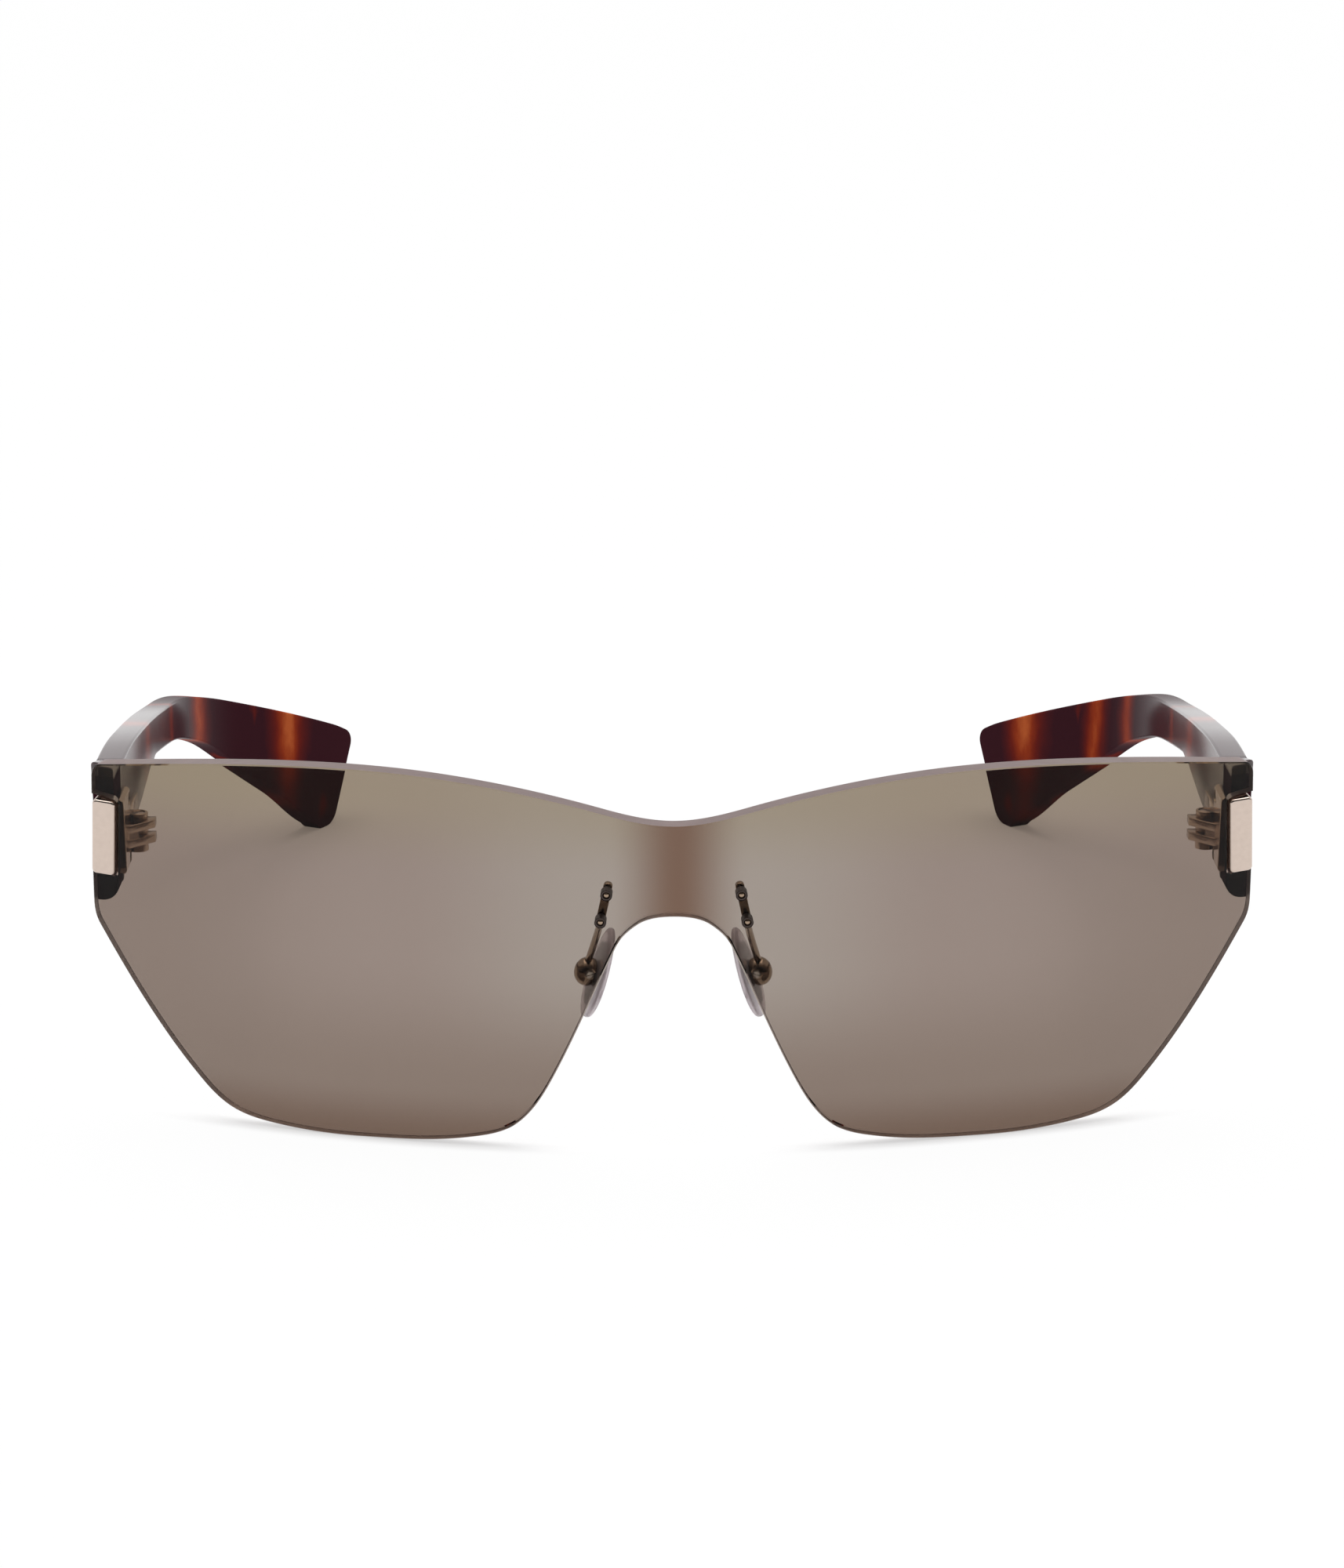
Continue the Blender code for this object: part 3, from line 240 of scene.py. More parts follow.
LENS_KNOT_SHARES = (
    (0.0000, 0.6564, 0.0),
    (0.0602, 0.6328, -38.0),
    (0.0916, 0.5788, -66.0),
    (0.1990, 0.2065, -64.0),
    (0.2565, 0.0817, -41.0),
    (0.3403, 0.0326, -12.0),
    (0.5236, 0.0041, -4.0),
    (0.6872, 0.0059, 5.0),
    (0.7539, 0.0297, 26.0),
    (0.8024, 0.0857, 46.0),
    (0.9908, 0.4648, 57.5),
    (1.0000, 0.5180, 89.0),
    (1.0000, 0.5300, 91.0),
    (0.9911, 0.8656, 93.0),
    (0.9751, 0.9010, 168.0),
    (0.4712, 1.0000, 180.0),
    (0.1178, 0.9255, 195.5),
    (0.0000, 0.8941, 180.0),
)


def knot_curve(shares, width, height, steps):
    """Bezier curve through knots of (share of the width, share of the height, heading), each
    handle a third of the chord and a little longer where the heading turns."""
    points = []
    knots = np.array(shares) * (width, height, 1.0)
    share = np.linspace(0.0, 1.0, steps, endpoint=False)[:, None]
    for first, second in zip(knots[:-1], knots[1:]):
        start = first[:2]
        end = second[:2]
        turn = math.radians((second[2] - first[2] + 180.0) % 360.0 - 180.0)
        handle = np.linalg.norm(end - start) / 3.0 * (1.0 + turn * turn / 20.0)
        leave = math.radians(first[2])
        arrive = math.radians(second[2])
        near = start + handle * np.array([math.cos(leave), math.sin(leave)])
        far = end - handle * np.array([math.cos(arrive), math.sin(arrive)])
        points.append(
            (1 - share) ** 3 * start
            + 3 * (1 - share) ** 2 * share * near
            + 3 * (1 - share) * share**2 * far
            + share**3 * end
        )
    return np.concatenate([*points, knots[-1:, :2]])


def leaned(x, depth_y, up):
    """The upright place, turned forward about the floor line by the lean."""
    y = depth_y * math.cos(LENS_LEAN) - up * math.sin(LENS_LEAN)
    z = depth_y * math.sin(LENS_LEAN) + up * math.cos(LENS_LEAN)
    return np.stack(np.broadcast_arrays(x, y + FRONT_Y, z), -1)


def on_lens(across, up, depth):
    """Place on the bent lens: the angle is the arc length over the radius."""
    angle = np.asarray(across) / LENS_RADIUS
    radius = LENS_RADIUS - np.asarray(depth)
    place = leaned(radius * np.sin(angle), LENS_RADIUS - radius * np.cos(angle), np.asarray(up))
    return place + np.array([0.0, 0.0, LENS_LIFT])


def behind_lens(x, z, depth):
    """Y of the surface at a depth behind the lens front, for an X and a Z."""
    radius = LENS_RADIUS - depth
    depth_y = LENS_RADIUS - np.sqrt(radius * radius - x * x)
    return FRONT_Y + depth_y / math.cos(LENS_LEAN) - (z - LENS_LIFT) * math.tan(LENS_LEAN)


lens_outline = knot_curve(LENS_KNOT_SHARES, LENS_HALF_WIDTH, LENS_HEIGHT, CURVE_STEPS)
LENS_LIFT = 0.0
LENS_LIFT = -float(on_lens(*lens_outline.T, 0.0)[:, 2].min())
print("lens lift in mm", round(LENS_LIFT / MM, 3))

# %% [markdown]
# ## Surfaces from grids
#
# Every new piece is a grid of points: rows go along the piece and columns round it. A skin
# turns such a grid into a closed mesh. The volume of the result tells whether the faces point
# out, and they are turned round when it is negative. A dome or a ball starts at a small angle
# from its pole, and the fan of the skin closes that gap.

# %% Mesh helpers
SHARP_ANGLE = 35.0
CRISP_ANGLE = 30.0
POLE_GAP = 0.02
SMALL_POLE_GAP = 0.03


def signed_volume(points, faces):
    """Sum of the tetrahedra between the origin and each triangle of the faces' fans."""
    corners = points[faces]
    wedges = np.cross(corners[:, 1:-1], corners[:, 2:])
    return float(np.sum(corners[:, :1] * wedges)) / 6.0


def smoothed(piece, sharp=SHARP_ANGLE):
    """Smooth shading, but sharp at edges past an angle."""
    piece.data.shade_smooth()
    piece.data.set_sharp_from_angle(angle=math.radians(sharp))
    return piece


def mesh_object(name, points, groups):
    """Object from points and groups of faces as index arrays, turned to face outwards."""
    if sum(signed_volume(points, group) for group in groups) < 0.0:
        groups = [group[:, ::-1] for group in groups]
    mesh = bpy.data.meshes.new(name)
    mesh.from_pydata(points.tolist(), [], [face for group in groups for face in group.tolist()])
    return smoothed(linked(name, mesh))


def skin(rows, side, matrix=Matrix(), name="shell", looped=False):
    """Closed surface through rows of rings, placed by a matrix and mirrored for the left side.
    A fan to its middle closes each end, or else the last ring joins the first in a loop."""
    turn = np.array(matrix.to_3x3())
    rows = (rows @ turn.T + np.array(matrix.translation)) * np.array([float(side), 1.0, 1.0])
    count, sides, _ = rows.shape
    points = rows.reshape(-1, 3)
    index = np.arange(count * sides).reshape(count, sides)
    if looped:
        index = np.concatenate([index, index[:1]])
    after = np.roll(index, -1, axis=1)
    quads = np.stack([index[:-1], after[:-1], after[1:], index[1:]], -1).reshape(-1, 4)
    if looped:
        return mesh_object(name, points, [quads])
    points = np.concatenate([points, [rows[0].mean(0), rows[-1].mean(0)]])
    start = np.full(sides, count * sides)
    first_fan = np.stack([after[0], index[0], start], -1)
    last_fan = np.stack([index[-1], after[-1], start + 1], -1)
    return mesh_object(name, points, [quads, first_fan, last_fan])


def circle(sides):
    """Angles of a whole turn in even steps."""
    return np.linspace(0.0, 2.0 * math.pi, sides, endpoint=False)


def quarter(steps):
    """Angles of a quarter turn, both ends included."""
    return np.linspace(0.0, math.pi / 2, steps)


def around(angle):
    """Points of a unit circle: the cosine and the sine of each angle."""
    return np.stack([np.cos(angle), np.sin(angle)], -1)


def quarter_round(radius, steps):
    """Rounded edge from wall to end face: how far in it is drawn, radius * (1 - cos), and how
    far short of the end it still is, radius * (1 - sin)."""
    return radius * (1.0 - around(quarter(steps)).T)


def lathe(profile, sides=64):
    """Rings of a turned piece: profile rows of (radius, height), turned about Z."""
    radius, height = np.transpose(profile)[..., None]
    x, y = around(circle(sides)).T
    return np.stack([radius * x, radius * y, height + 0.0 * x], -1)


def block_outline(low_x, high_x, low_y, high_y, radii, steps=8):
    """Rectangle with one radius or four, from the high corner round against the clock."""
    corners = (
        (high_x, high_y, -1, -1),
        (low_x, high_y, 1, -1),
        (low_x, low_y, 1, 1),
        (high_x, low_y, -1, 1),
    )
    outline = []
    for turns, ((x, y, way_x, way_y), radius) in enumerate(zip(corners, np.broadcast_to(radii, 4))):
        angle = quarter(steps) + turns * math.pi / 2
        centre = np.array([x + way_x * radius, y + way_y * radius])
        outline.append(centre + radius * around(angle))
    return np.concatenate(outline)


def rounded_outline(half_width, half_height, radius, steps=8):
    """Rectangle about the origin with the same radius at each corner."""
    return block_outline(-half_width, half_width, -half_height, half_height, radius, steps)


def levelled(outline, levels):
    """The same outline at each of several heights."""
    return np.stack([np.column_stack([outline, np.full(len(outline), z)]) for z in levels])


def aimed(start, direction):
    """Placement whose Z runs from a start along a direction."""
    turn = Vector(direction).to_track_quat("Z", "Y").to_matrix().to_4x4()
    return Matrix.Translation(Vector(start)) @ turn


print("grid helpers ready")

# %% [markdown]
# Some pieces need a cut or a rounded edge after that. Booleans and bevels are applied at once,
# so that the finished mesh holds them and the smooth shading can be set on the result.

# %% Helpers that finish a mesh


def applied(piece):
    """Keep what the piece's modifiers make as its own mesh."""
    depsgraph = bpy.context.evaluated_depsgraph_get()
    result = bpy.data.meshes.new_from_object(piece.evaluated_get(depsgraph))
    piece.modifiers.clear()
    piece.data = result
    return piece


def cut(piece, tools):
    """Exact Boolean difference of a piece and its tools; the tools are removed."""
    for tool in tools:
        modifier = piece.modifiers.new("cut", "BOOLEAN")
        modifier.operation = "DIFFERENCE"
        modifier.solver = "EXACT"
        modifier.object = tool
    applied(piece)
    for tool in tools:
        bpy.data.objects.remove(tool)
    return piece


def softened(piece, width, angle=SHARP_ANGLE):
    """Round every edge past an angle by a bevel of three steps."""
    modifier = piece.modifiers.new("soft_edges", "BEVEL")
    modifier.width = width
    modifier.segments = 3
    modifier.limit_method = "ANGLE"
    modifier.angle_limit = math.radians(angle)
    return applied(piece)


def merged(name, shells, sharp=SHARP_ANGLE):
    """One object from several closed shells."""
    shape = bmesh.new()
    for shell in shells:
        shape.from_mesh(shell.data)
        bpy.data.objects.remove(shell)
    mesh = bpy.data.meshes.new(name)
    shape.to_mesh(mesh)
    shape.free()
    return smoothed(linked(name, mesh), sharp)


def dress(piece, body, slot, finish, *nodes):
    """Finish a piece: its material, the body it rides on and the CAD nodes it stands for."""
    piece.data.materials.clear()
    piece.data.materials.append(finish)
    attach(piece, body)
    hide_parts(*nodes)
    return piece


print("finishing helpers ready")

# %% [markdown]
# ## Table and light
#
# The glasses stand on a white table in front of white. The table keeps the shadows of the
# glasses, and Light Path lifts it towards white for the camera and for what glass and metal show.
# The lift is weakest along the line where the lens touches the table, so the thin contact
# shadow stays dark there and the wide soft one fades, as under a photographer's lamps.

# %% Table
TABLE_RADIUS = 1.8
TABLE_SIDES = 96
TABLE_WHITE = (0.92, 0.92, 0.92)
TABLE_ROUGHNESS = (0.84, 0.94)
TABLE_GRAIN = {"scale": 160.0, "detail": 3.0}
LIFT_AT_CONTACT = 0.55
LIFT_NEAR = 0.965
LIFT_FAR = 0.99
LIFT_THROUGH_LENS = (0.55, 0.95)
LIFT_MIRRORED = 0.35
CONTACT_FADE = (0.6 * MM, 3.8 * MM)
SHADOW_FADE = (90 * MM, 300 * MM)
THROUGH_FADE = (110 * MM, 260 * MM)

table_ring = lathe([(TABLE_RADIUS, 0.0)], TABLE_SIDES)[0]
table = mesh_object("table_top", table_ring, [np.arange(TABLE_SIDES)[None]])


def ray_kinds(tree, *names):
    """What Light Path says of the ray under these names."""
    return [add(tree, "ShaderNodeLightPath", {}, {}, name) for name in names]


table_finish, tree, shader = new_finish("table_white", TABLE_WHITE, TABLE_ROUGHNESS[1])
place = object_place(tree)
x, y, z = place
drive(shader, "Roughness", between(noise(place, **TABLE_GRAIN), *TABLE_ROUGHNESS))
lens_foot = FRONT_Y + LENS_RADIUS - (LENS_RADIUS**2 - x * x).larger(0.0) ** 0.5
from_foot = abs(y - lens_foot - LENS_THICKNESS / 2) + (abs(x) - LENS_HALF_WIDTH).larger(0.0)
from_middle = (x * x + y * y) ** 0.5
seen_lift = rise(from_foot, *CONTACT_FADE, LIFT_AT_CONTACT, LIFT_NEAR)
seen_lift = seen_lift + rise(from_middle, *SHADOW_FADE, 0.0, LIFT_FAR - LIFT_NEAR)
through_lift = rise(from_middle, *THROUGH_FADE, *LIFT_THROUGH_LENS)
seen, mirrored, through = ray_kinds(tree, "Is Camera Ray", "Is Glossy Ray", "Is Transmission Ray")
unseen_lift = through * through_lift + (1.0 - through) * mirrored * LIFT_MIRRORED
lift = seen * seen_lift + (1.0 - seen) * unseen_lift
glow = add(tree, "ShaderNodeEmission", {}, {"Color": opaque((1.0, 1.0, 1.0)), "Strength": 1.0})
lit = Value(tree, shader.outputs[0])
blend = add(tree, "ShaderNodeMixShader", {}, {0: lift, 1: lit, 2: glow})
drive(tree.nodes["Material Output"], "Surface", blend)
table.data.materials.append(table_finish)
print("table radius", TABLE_RADIUS)

# %% [markdown]
# One large soft lamp hangs above. The world is white behind the glasses and dark on the
# camera's side, as in a studio with black flags by the camera, because polished metal and
# dark acetate look like themselves only when they have something dark to show. Rays that come
# straight from the camera, or through the lens without a mirroring first, see plain white.

# %% World and lamp
ROOM_FRONT = 0.06
ROOM_BACK = 1.0
ROOM_TILT = 0.5
ROOM_FADE = (-0.55, 0.25)
LAMP_WATTS = 6.6
LAMP_PLACE = Vector((0.0, 0.10, 0.95))
LAMP_SIZE = (1.0, 0.8)

world = bpy.data.worlds.new("studio")
bpy.context.scene.world = world
world.use_nodes = True
tree = world.node_tree
_, towards_back, upward = axes(add(tree, "ShaderNodeTexCoord", {}, {}, "Generated"))
room = rise(towards_back + upward * ROOM_TILT, *ROOM_FADE, ROOM_FRONT, ROOM_BACK)
seen, through, gloss_before = ray_kinds(
    tree, "Is Camera Ray", "Is Transmission Ray", "Glossy Depth"
)
plain = (seen + through * (1.0 - gloss_before.smaller(1.0))).smaller(1.0)
background = tree.nodes["Background"]
background.inputs["Color"].default_value = opaque((1.0, 1.0, 1.0))
drive(background, "Strength", room * (1.0 - plain) + plain)

lamp_data = bpy.data.lights.new("overhead_softbox", "AREA")
lamp_data.shape = "RECTANGLE"
lamp_data.size, lamp_data.size_y = LAMP_SIZE
lamp_data.energy = LAMP_WATTS
lamp = linked("overhead_softbox", lamp_data)
lamp.location = LAMP_PLACE
lamp.rotation_euler = (-LAMP_PLACE).to_track_quat("-Z", "Y").to_euler()
print("room", ROOM_FRONT, "to", ROOM_BACK, "and a lamp of", LAMP_WATTS, "W")

# %% [markdown]
# ## Lens mesh
#
# The outline of half a lens is cut at four corners into bottom, side, top and middle. A Coons
# patch fills them: it blends the bottom into the top and the middle into the side, and takes
# away the corners that were counted twice. Front and back are the same grid at two depths, and
# a narrow polished bevel joins each to the edge.

# %% Lens surface
LENS_COLUMNS = 170
LENS_ROWS = 52
EDGE_BEVEL = 0.16 * MM
SIDE_START = 11 * CURVE_STEPS
SIDE_END = 13 * CURVE_STEPS + CURVE_STEPS // 2


def resampled(curve, count):
    """The same curve with points at equal distances along it."""
    steps = np.linalg.norm(np.diff(curve, axis=0), axis=1)
    length = np.concatenate([[0.0], np.cumsum(steps)])
    even = np.linspace(0.0, length[-1], count)
    return np.stack([np.interp(even, length, curve[:, axis]) for axis in range(2)], -1)


def inset(curve, distance):
    """Curve moved to its left by a distance, along the normals of its own headings."""
    run = np.gradient(curve, axis=0)
    run /= np.linalg.norm(run, axis=1)[:, None]
    run[0] = (1.0, 0.0)
    run[-1] = (-1.0, 0.0)
    return curve + distance * np.stack([-run[:, 1], run[:, 0]], -1)


def half_boundary(outline):
    """Bottom, side and top of half the lens, each with evenly spaced points."""
    bottom = resampled(outline[: SIDE_START + 1], LENS_COLUMNS)
    side = resampled(outline[SIDE_START : SIDE_END + 1], LENS_ROWS)
    top = resampled(outline[SIDE_END:], LENS_COLUMNS)[::-1]
    return bottom, side, top


def coons(bottom, side, top):
    """Coons patch: bottom to top plus middle to side, less the blend of the four corners."""
    u = np.linspace(0.0, 1.0, len(bottom))[None, :, None]
    v = np.linspace(0.0, 1.0, len(side))[:, None, None]
    middle = bottom[0] + v[:, 0] * (top[0] - bottom[0])
    ruled_up = (1 - v) * bottom[None] + v * top[None]
    ruled_across = (1 - u) * middle[:, None] + u * side[:, None]
    low = (1 - u) * bottom[0] + u * bottom[-1]
    high = (1 - u) * top[0] + u * top[-1]
    return ruled_up + ruled_across - (1 - v) * low - v * high


def whole_grid(half):
    """Grid of both halves, the left one mirrored."""
    left = half[:, :0:-1] * np.array([-1.0, 1.0])
    return np.concatenate([left, half], axis=1)


def rim_of(grid):
    """The grid's border in one loop: bottom, right, top, left."""
    return np.concatenate([grid[0, :-1], grid[:-1, -1], grid[-1, :0:-1], grid[:0:-1, 0]])


def strip(first, second):
    """Quads between two closed loops of the same length."""
    return np.stack([first, second, np.roll(second, -1), np.roll(first, -1)], -1)


face_grid = whole_grid(coons(*half_boundary(inset(lens_outline, EDGE_BEVEL))))
edge_rim = rim_of(whole_grid(coons(*half_boundary(lens_outline))))
rows, columns, _ = face_grid.shape
across = face_grid[..., 0]
up = face_grid[..., 1]
lens_points = np.concatenate([
    on_lens(across, up, 0.0).reshape(-1, 3),
    on_lens(across, up, LENS_THICKNESS).reshape(-1, 3),
    on_lens(edge_rim[:, 0], edge_rim[:, 1], EDGE_BEVEL),
    on_lens(edge_rim[:, 0], edge_rim[:, 1], LENS_THICKNESS - EDGE_BEVEL),
])

index = np.arange(rows * columns).reshape(rows, columns)
cells = np.stack([index[:-1, :-1], index[:-1, 1:], index[1:, 1:], index[1:, :-1]], -1)
cells = cells.reshape(-1, 4)
front_rim = rim_of(index)
back_rim = front_rim + rows * columns
near_rim = np.arange(len(edge_rim)) + 2 * rows * columns
far_rim = near_rim + len(edge_rim)
lens_faces = [
    cells,
    cells[:, ::-1] + rows * columns,
    strip(front_rim, near_rim),
    strip(near_rim, far_rim),
    strip(far_rim, back_rim),
]
lens = mesh_object("curved_lens", lens_points, lens_faces)
print("lens quads", sum(len(group) for group in lens_faces))

# %% [markdown]
# ## Notches and holes in the lens
#
# Each corner plate sits in an open notch, and each pad arm's pins pass through two small holes.
# These are cut with exact Booleans. The notch cutter flares a little at the front, which leaves
# the narrow polished bevel that the photograph shows round the plate.

# %% Plate and pin placements
PLATE_WIDTH = 3.0 * MM
PLATE_HEIGHT = 10.3 * MM
PLATE_INSET = 0.9 * MM
PLATE_DROP = 14.65 * MM
PLATE_TILT = math.radians(3.7)
PLATE_PROUD = 0.40 * MM
PLATE_TURN = math.radians(14.3)
PLATE_CORNER = 0.6 * MM
NOTCH_GAP = 0.18 * MM
NOTCH_FLARE = 0.12 * MM
ARM_PINS = ((8.25 * MM, 36.2 * MM), (9.00 * MM, 32.5 * MM))
SLEEVE_HOLE = 0.72 * MM
OVERRUN = 0.4 * MM
CUTTER_BEHIND = 6.0 * MM
CUTTER_BEFORE = 4.0 * MM


def lens_frame(across, up):
    """Placement whose X runs across the lens, Y up it and Z out of its front face."""
    angle = across / LENS_RADIUS
    floor = Vector((0.0, FRONT_Y, 0.0))
    right = Vector(leaned(math.cos(angle), math.sin(angle), 0.0)) - floor
    above = Vector(leaned(0.0, 0.0, 1.0)) - floor
    matrix = Matrix((right, above, right.cross(above))).transposed().to_4x4()
    matrix.translation = Vector(on_lens(across, up, 0.0))
    return matrix


def plate_seat(across):
    """Height of the lens back in the plate's frame, which falls away outwards."""
    return -LENS_THICKNESS / math.cos(PLATE_TURN) - across * math.tan(PLATE_TURN)


def notch_ring(grow):
    """Outline of the notch, wider by a little, open past the end of the lens."""
    half_width = PLATE_WIDTH / 2 + NOTCH_GAP
    half_height = PLATE_HEIGHT / 2 + NOTCH_GAP
    ring = rounded_outline(half_width + grow, half_height + grow, PLATE_CORNER + grow)
    ring[:, 0] += np.where(ring[:, 0] > 0.0, PLATE_WIDTH + PLATE_INSET + OVERRUN, 0.0)
    return ring


def notch_rows():
    """Loft of the notch cutter: straight through the lens, then flared at its front face."""
    front_level = PLATE_WIDTH / 2 * math.tan(PLATE_TURN)
    back_level = plate_seat(-PLATE_WIDTH / 2) - CUTTER_BEHIND
    levels = (
        (back_level, 0.0),
        (front_level - NOTCH_FLARE, 0.0),
        (front_level + NOTCH_FLARE, 2 * NOTCH_FLARE),
        (front_level + CUTTER_BEFORE, 2 * NOTCH_FLARE),
    )
    return np.concatenate([levelled(notch_ring(grow), [level]) for level, grow in levels])


plate_place = (
    lens_frame(LENS_HALF_WIDTH - PLATE_INSET - PLATE_WIDTH / 2, LENS_HEIGHT - PLATE_DROP)
    @ Matrix.Rotation(PLATE_TILT, 4, "Z")
    @ Matrix.Rotation(-PLATE_TURN, 4, "Y")
)
hole = lathe([(SLEEVE_HOLE, -LENS_THICKNESS - OVERRUN), (SLEEVE_HOLE, OVERRUN)], sides=32)
cutters = []
for side, name in SIDES:
    cutters.append(skin(notch_rows(), side, plate_place))
    cutters += [skin(hole, side, lens_frame(*pin)) for pin in ARM_PINS]
smoothed(cut(lens, cutters))
print("lens faces after the cuts", len(lens.data.polygons))

# %% [markdown]
# ## Lens finish
#
# The tint is grey-brown plastic that lets about a quarter of the light pass. Over it the colour
# paints shade: a painted shadow, darker and warmer towards the foot, where the table behind lies in
# the lens's shadow, and painted shade, warmer towards the ends and brown in a band at the bridge.
# The top is mottled yellower.
# Two faces are crossed, and each takes the square root of the colour, so the colour given here
# is what white becomes behind the lens. An anti-glare coat takes most of the mirroring away, so
# the specular tint is nearly black. The cut edge is only half polished and scatters light.

# %% Lens materials
COATED_TINT = opaque((0.08, 0.08, 0.08))
LENS_HAZE = {"scale": 90.0, "detail": 3.0}
LENS_ROUGHNESS = (0.4, 0.9, 0.0, 0.004)
MOTTLE = {"scale": 26.0, "detail": 1.0}
TOP_MOTTLE = (0.4, 0.9)
BRIDGE_MIDDLE = 0.5 * MM
TINT_INNER = (0.318, 0.275, 0.242)
# Each further colour over the tint, painted shade but for the mottled top: what it follows, where
# it starts and where it is full in mm, its colour.
TINT_AND_PAINTED_SHADE_SPREADS = (
    ("across", 10.0, 34.0, (0.280, 0.224, 0.196)),
    ("across", 36.0, 68.0, (0.238, 0.185, 0.156)),
    ("mottled top", 36.0, 48.0, (0.279, 0.229, 0.158)),
    ("up", 26.0, 8.0, (0.228, 0.177, 0.148)),
    ("up", 8.0, 0.5, (0.170, 0.116, 0.089)),
    ("from the bridge", 8.8, 0.1, (0.170, 0.106, 0.077)),
)
EDGE_PALE = (0.32, 0.23, 0.22)
EDGE_DARK = (0.22, 0.15, 0.145)
EDGE_ROUGHNESS = (0.28, 0.44)
EDGE_GRAIN_SCALE = 900.0
EDGE_STREAKS = {"scale": 700.0, "detail": 3.0, "stretch": (0.4, 3.0, 0.4)}

lens_finish, tree, shader = new_finish(
    "lens_tint", TINT_INNER, 0.0, Transmission_Weight=1.0, IOR=1.5, Specular_Tint=COATED_TINT
)
place = object_place(tree)
x, y, z = place
measures = {"across": abs(x), "up": z, "mottled top": z, "from the bridge": abs(x - BRIDGE_MIDDLE)}
colour = TINT_INNER
# Each pass lays one colour over the tint: painted shade towards the ends, the foot and the bridge,
# and a mottled yellower top.
for measure, start_mm, full_mm, tint in TINT_AND_PAINTED_SHADE_SPREADS:
    share = rise(measures[measure], start_mm * MM, full_mm * MM)
    if measure == "mottled top":
        share = share * between(noise(place, **MOTTLE), *TOP_MOTTLE)
    colour = mix(share, colour, tint)
drive(shader, "Base Color", colour)
drive(shader, "Roughness", rise(noise(place, **LENS_HAZE), *LENS_ROUGHNESS))

edge_finish, tree, shader = new_finish(
    "lens_edge", EDGE_PALE, EDGE_ROUGHNESS[0], Transmission_Weight=0.45, IOR=1.5,
    Specular_IOR_Level=0.3,
)
place = object_place(tree)
drive(shader, "Base Color", mix(noise(place, **EDGE_STREAKS), EDGE_PALE, EDGE_DARK))
drive(shader, "Roughness", between(noise(place, EDGE_GRAIN_SCALE), *EDGE_ROUGHNESS))
print("lens materials:", lens_finish.name, edge_finish.name)

# %% Edge faces of the lens
EDGE_FACING = 0.6
HOLES_REACH = 3.4 * MM

dress(lens, "front", "lens_tint", lens_finish, "shield_lens")
lens.data.materials.append(edge_finish)
normals = np.zeros(len(lens.data.polygons) * 3)
centres = np.zeros(len(lens.data.polygons) * 3)
lens.data.polygons.foreach_get("normal", normals)
lens.data.polygons.foreach_get("center", centres)
normals = normals.reshape(-1, 3)
turn = np.arcsin(np.clip(centres[0::3] / LENS_RADIUS, -1.0, 1.0))
outward = leaned(np.sin(turn), -np.cos(turn), 0.0) - np.array([0.0, FRONT_Y, 0.0])
facing = np.abs(np.sum(normals * outward, -1))
edge_faces = facing < EDGE_FACING
hole_across = np.mean([across for across, up in ARM_PINS])
hole_up = np.mean([up for across, up in ARM_PINS])
from_holes = np.hypot(np.abs(centres[0::3]) - hole_across, centres[2::3] - hole_up - LENS_LIFT)
# Walls of the pin holes: they take the dark nylon colour, painted shade in the holes.
hole_walls = edge_faces & (from_holes < HOLES_REACH)
lens.data.polygons.foreach_set("material_index", edge_faces.astype(np.int32) + hole_walls)
print("edge faces", int(edge_faces.sum()), "of them in holes", int(hole_walls.sum()))

# %% [markdown]
# ## Temples
#
# A temple is an acetate bar. In plan it runs straight back from the hinge, bows out slightly and
# curls in behind the ear. From the side it drops along two smooth curves, and its end leans.
# The section is a rectangle with soft corners, carried along that path. An attribute keeps the
# place in the bar before it was bent, and the tortoise pattern is drawn on that.

# %% Temple path
ACETATE_THICKNESS = 3.5 * MM
ENDPIECE_MARGIN = 0.34 * MM
INNER_X = LENS_RADIUS * math.sin(LENS_HALF_WIDTH / LENS_RADIUS) - ENDPIECE_MARGIN
INNER_X -= ACETATE_THICKNESS
ENDPIECE_TOP = 45.5 * MM
ENDPIECE_BOTTOM = 28.2 * MM
ENDPIECE_DEPTH = 3.4 * MM
JOINT_GAP = 0.2 * MM
TEMPLE_LENGTH = 143.0 * MM
PLAN_BENDS = ((2.2, 8 * MM, 20 * MM), (-30.0, 68 * MM, 52 * MM))
PLAN_STEPS = 600
PLAN_LENGTH = TEMPLE_LENGTH * 1.02

JOINT_Y = ENDPIECE_DEPTH + float(
    behind_lens(INNER_X + ACETATE_THICKNESS / 2, ENDPIECE_BOTTOM, LENS_THICKNESS)
)


def smooth_step(value, start, length):
    """Rise from 0 to 1 between start and start + length, level at both ends."""
    share = np.clip((value - start) / length, 0.0, 1.0)
    return share * share * (3.0 - 2.0 * share)


plan_along = np.linspace(0.0, PLAN_LENGTH, PLAN_STEPS)
plan_heading = sum(
    math.radians(degrees) * smooth_step(plan_along, start, length)
    for degrees, start, length in PLAN_BENDS
)
plan_step = plan_along[1]
plan_x = INNER_X + np.concatenate([[0.0], np.cumsum(np.sin(plan_heading[:-1])) * plan_step])
plan_y = np.concatenate([[0.0], np.cumsum(np.cos(plan_heading[:-1])) * plan_step])
plan_y += JOINT_Y + JOINT_GAP


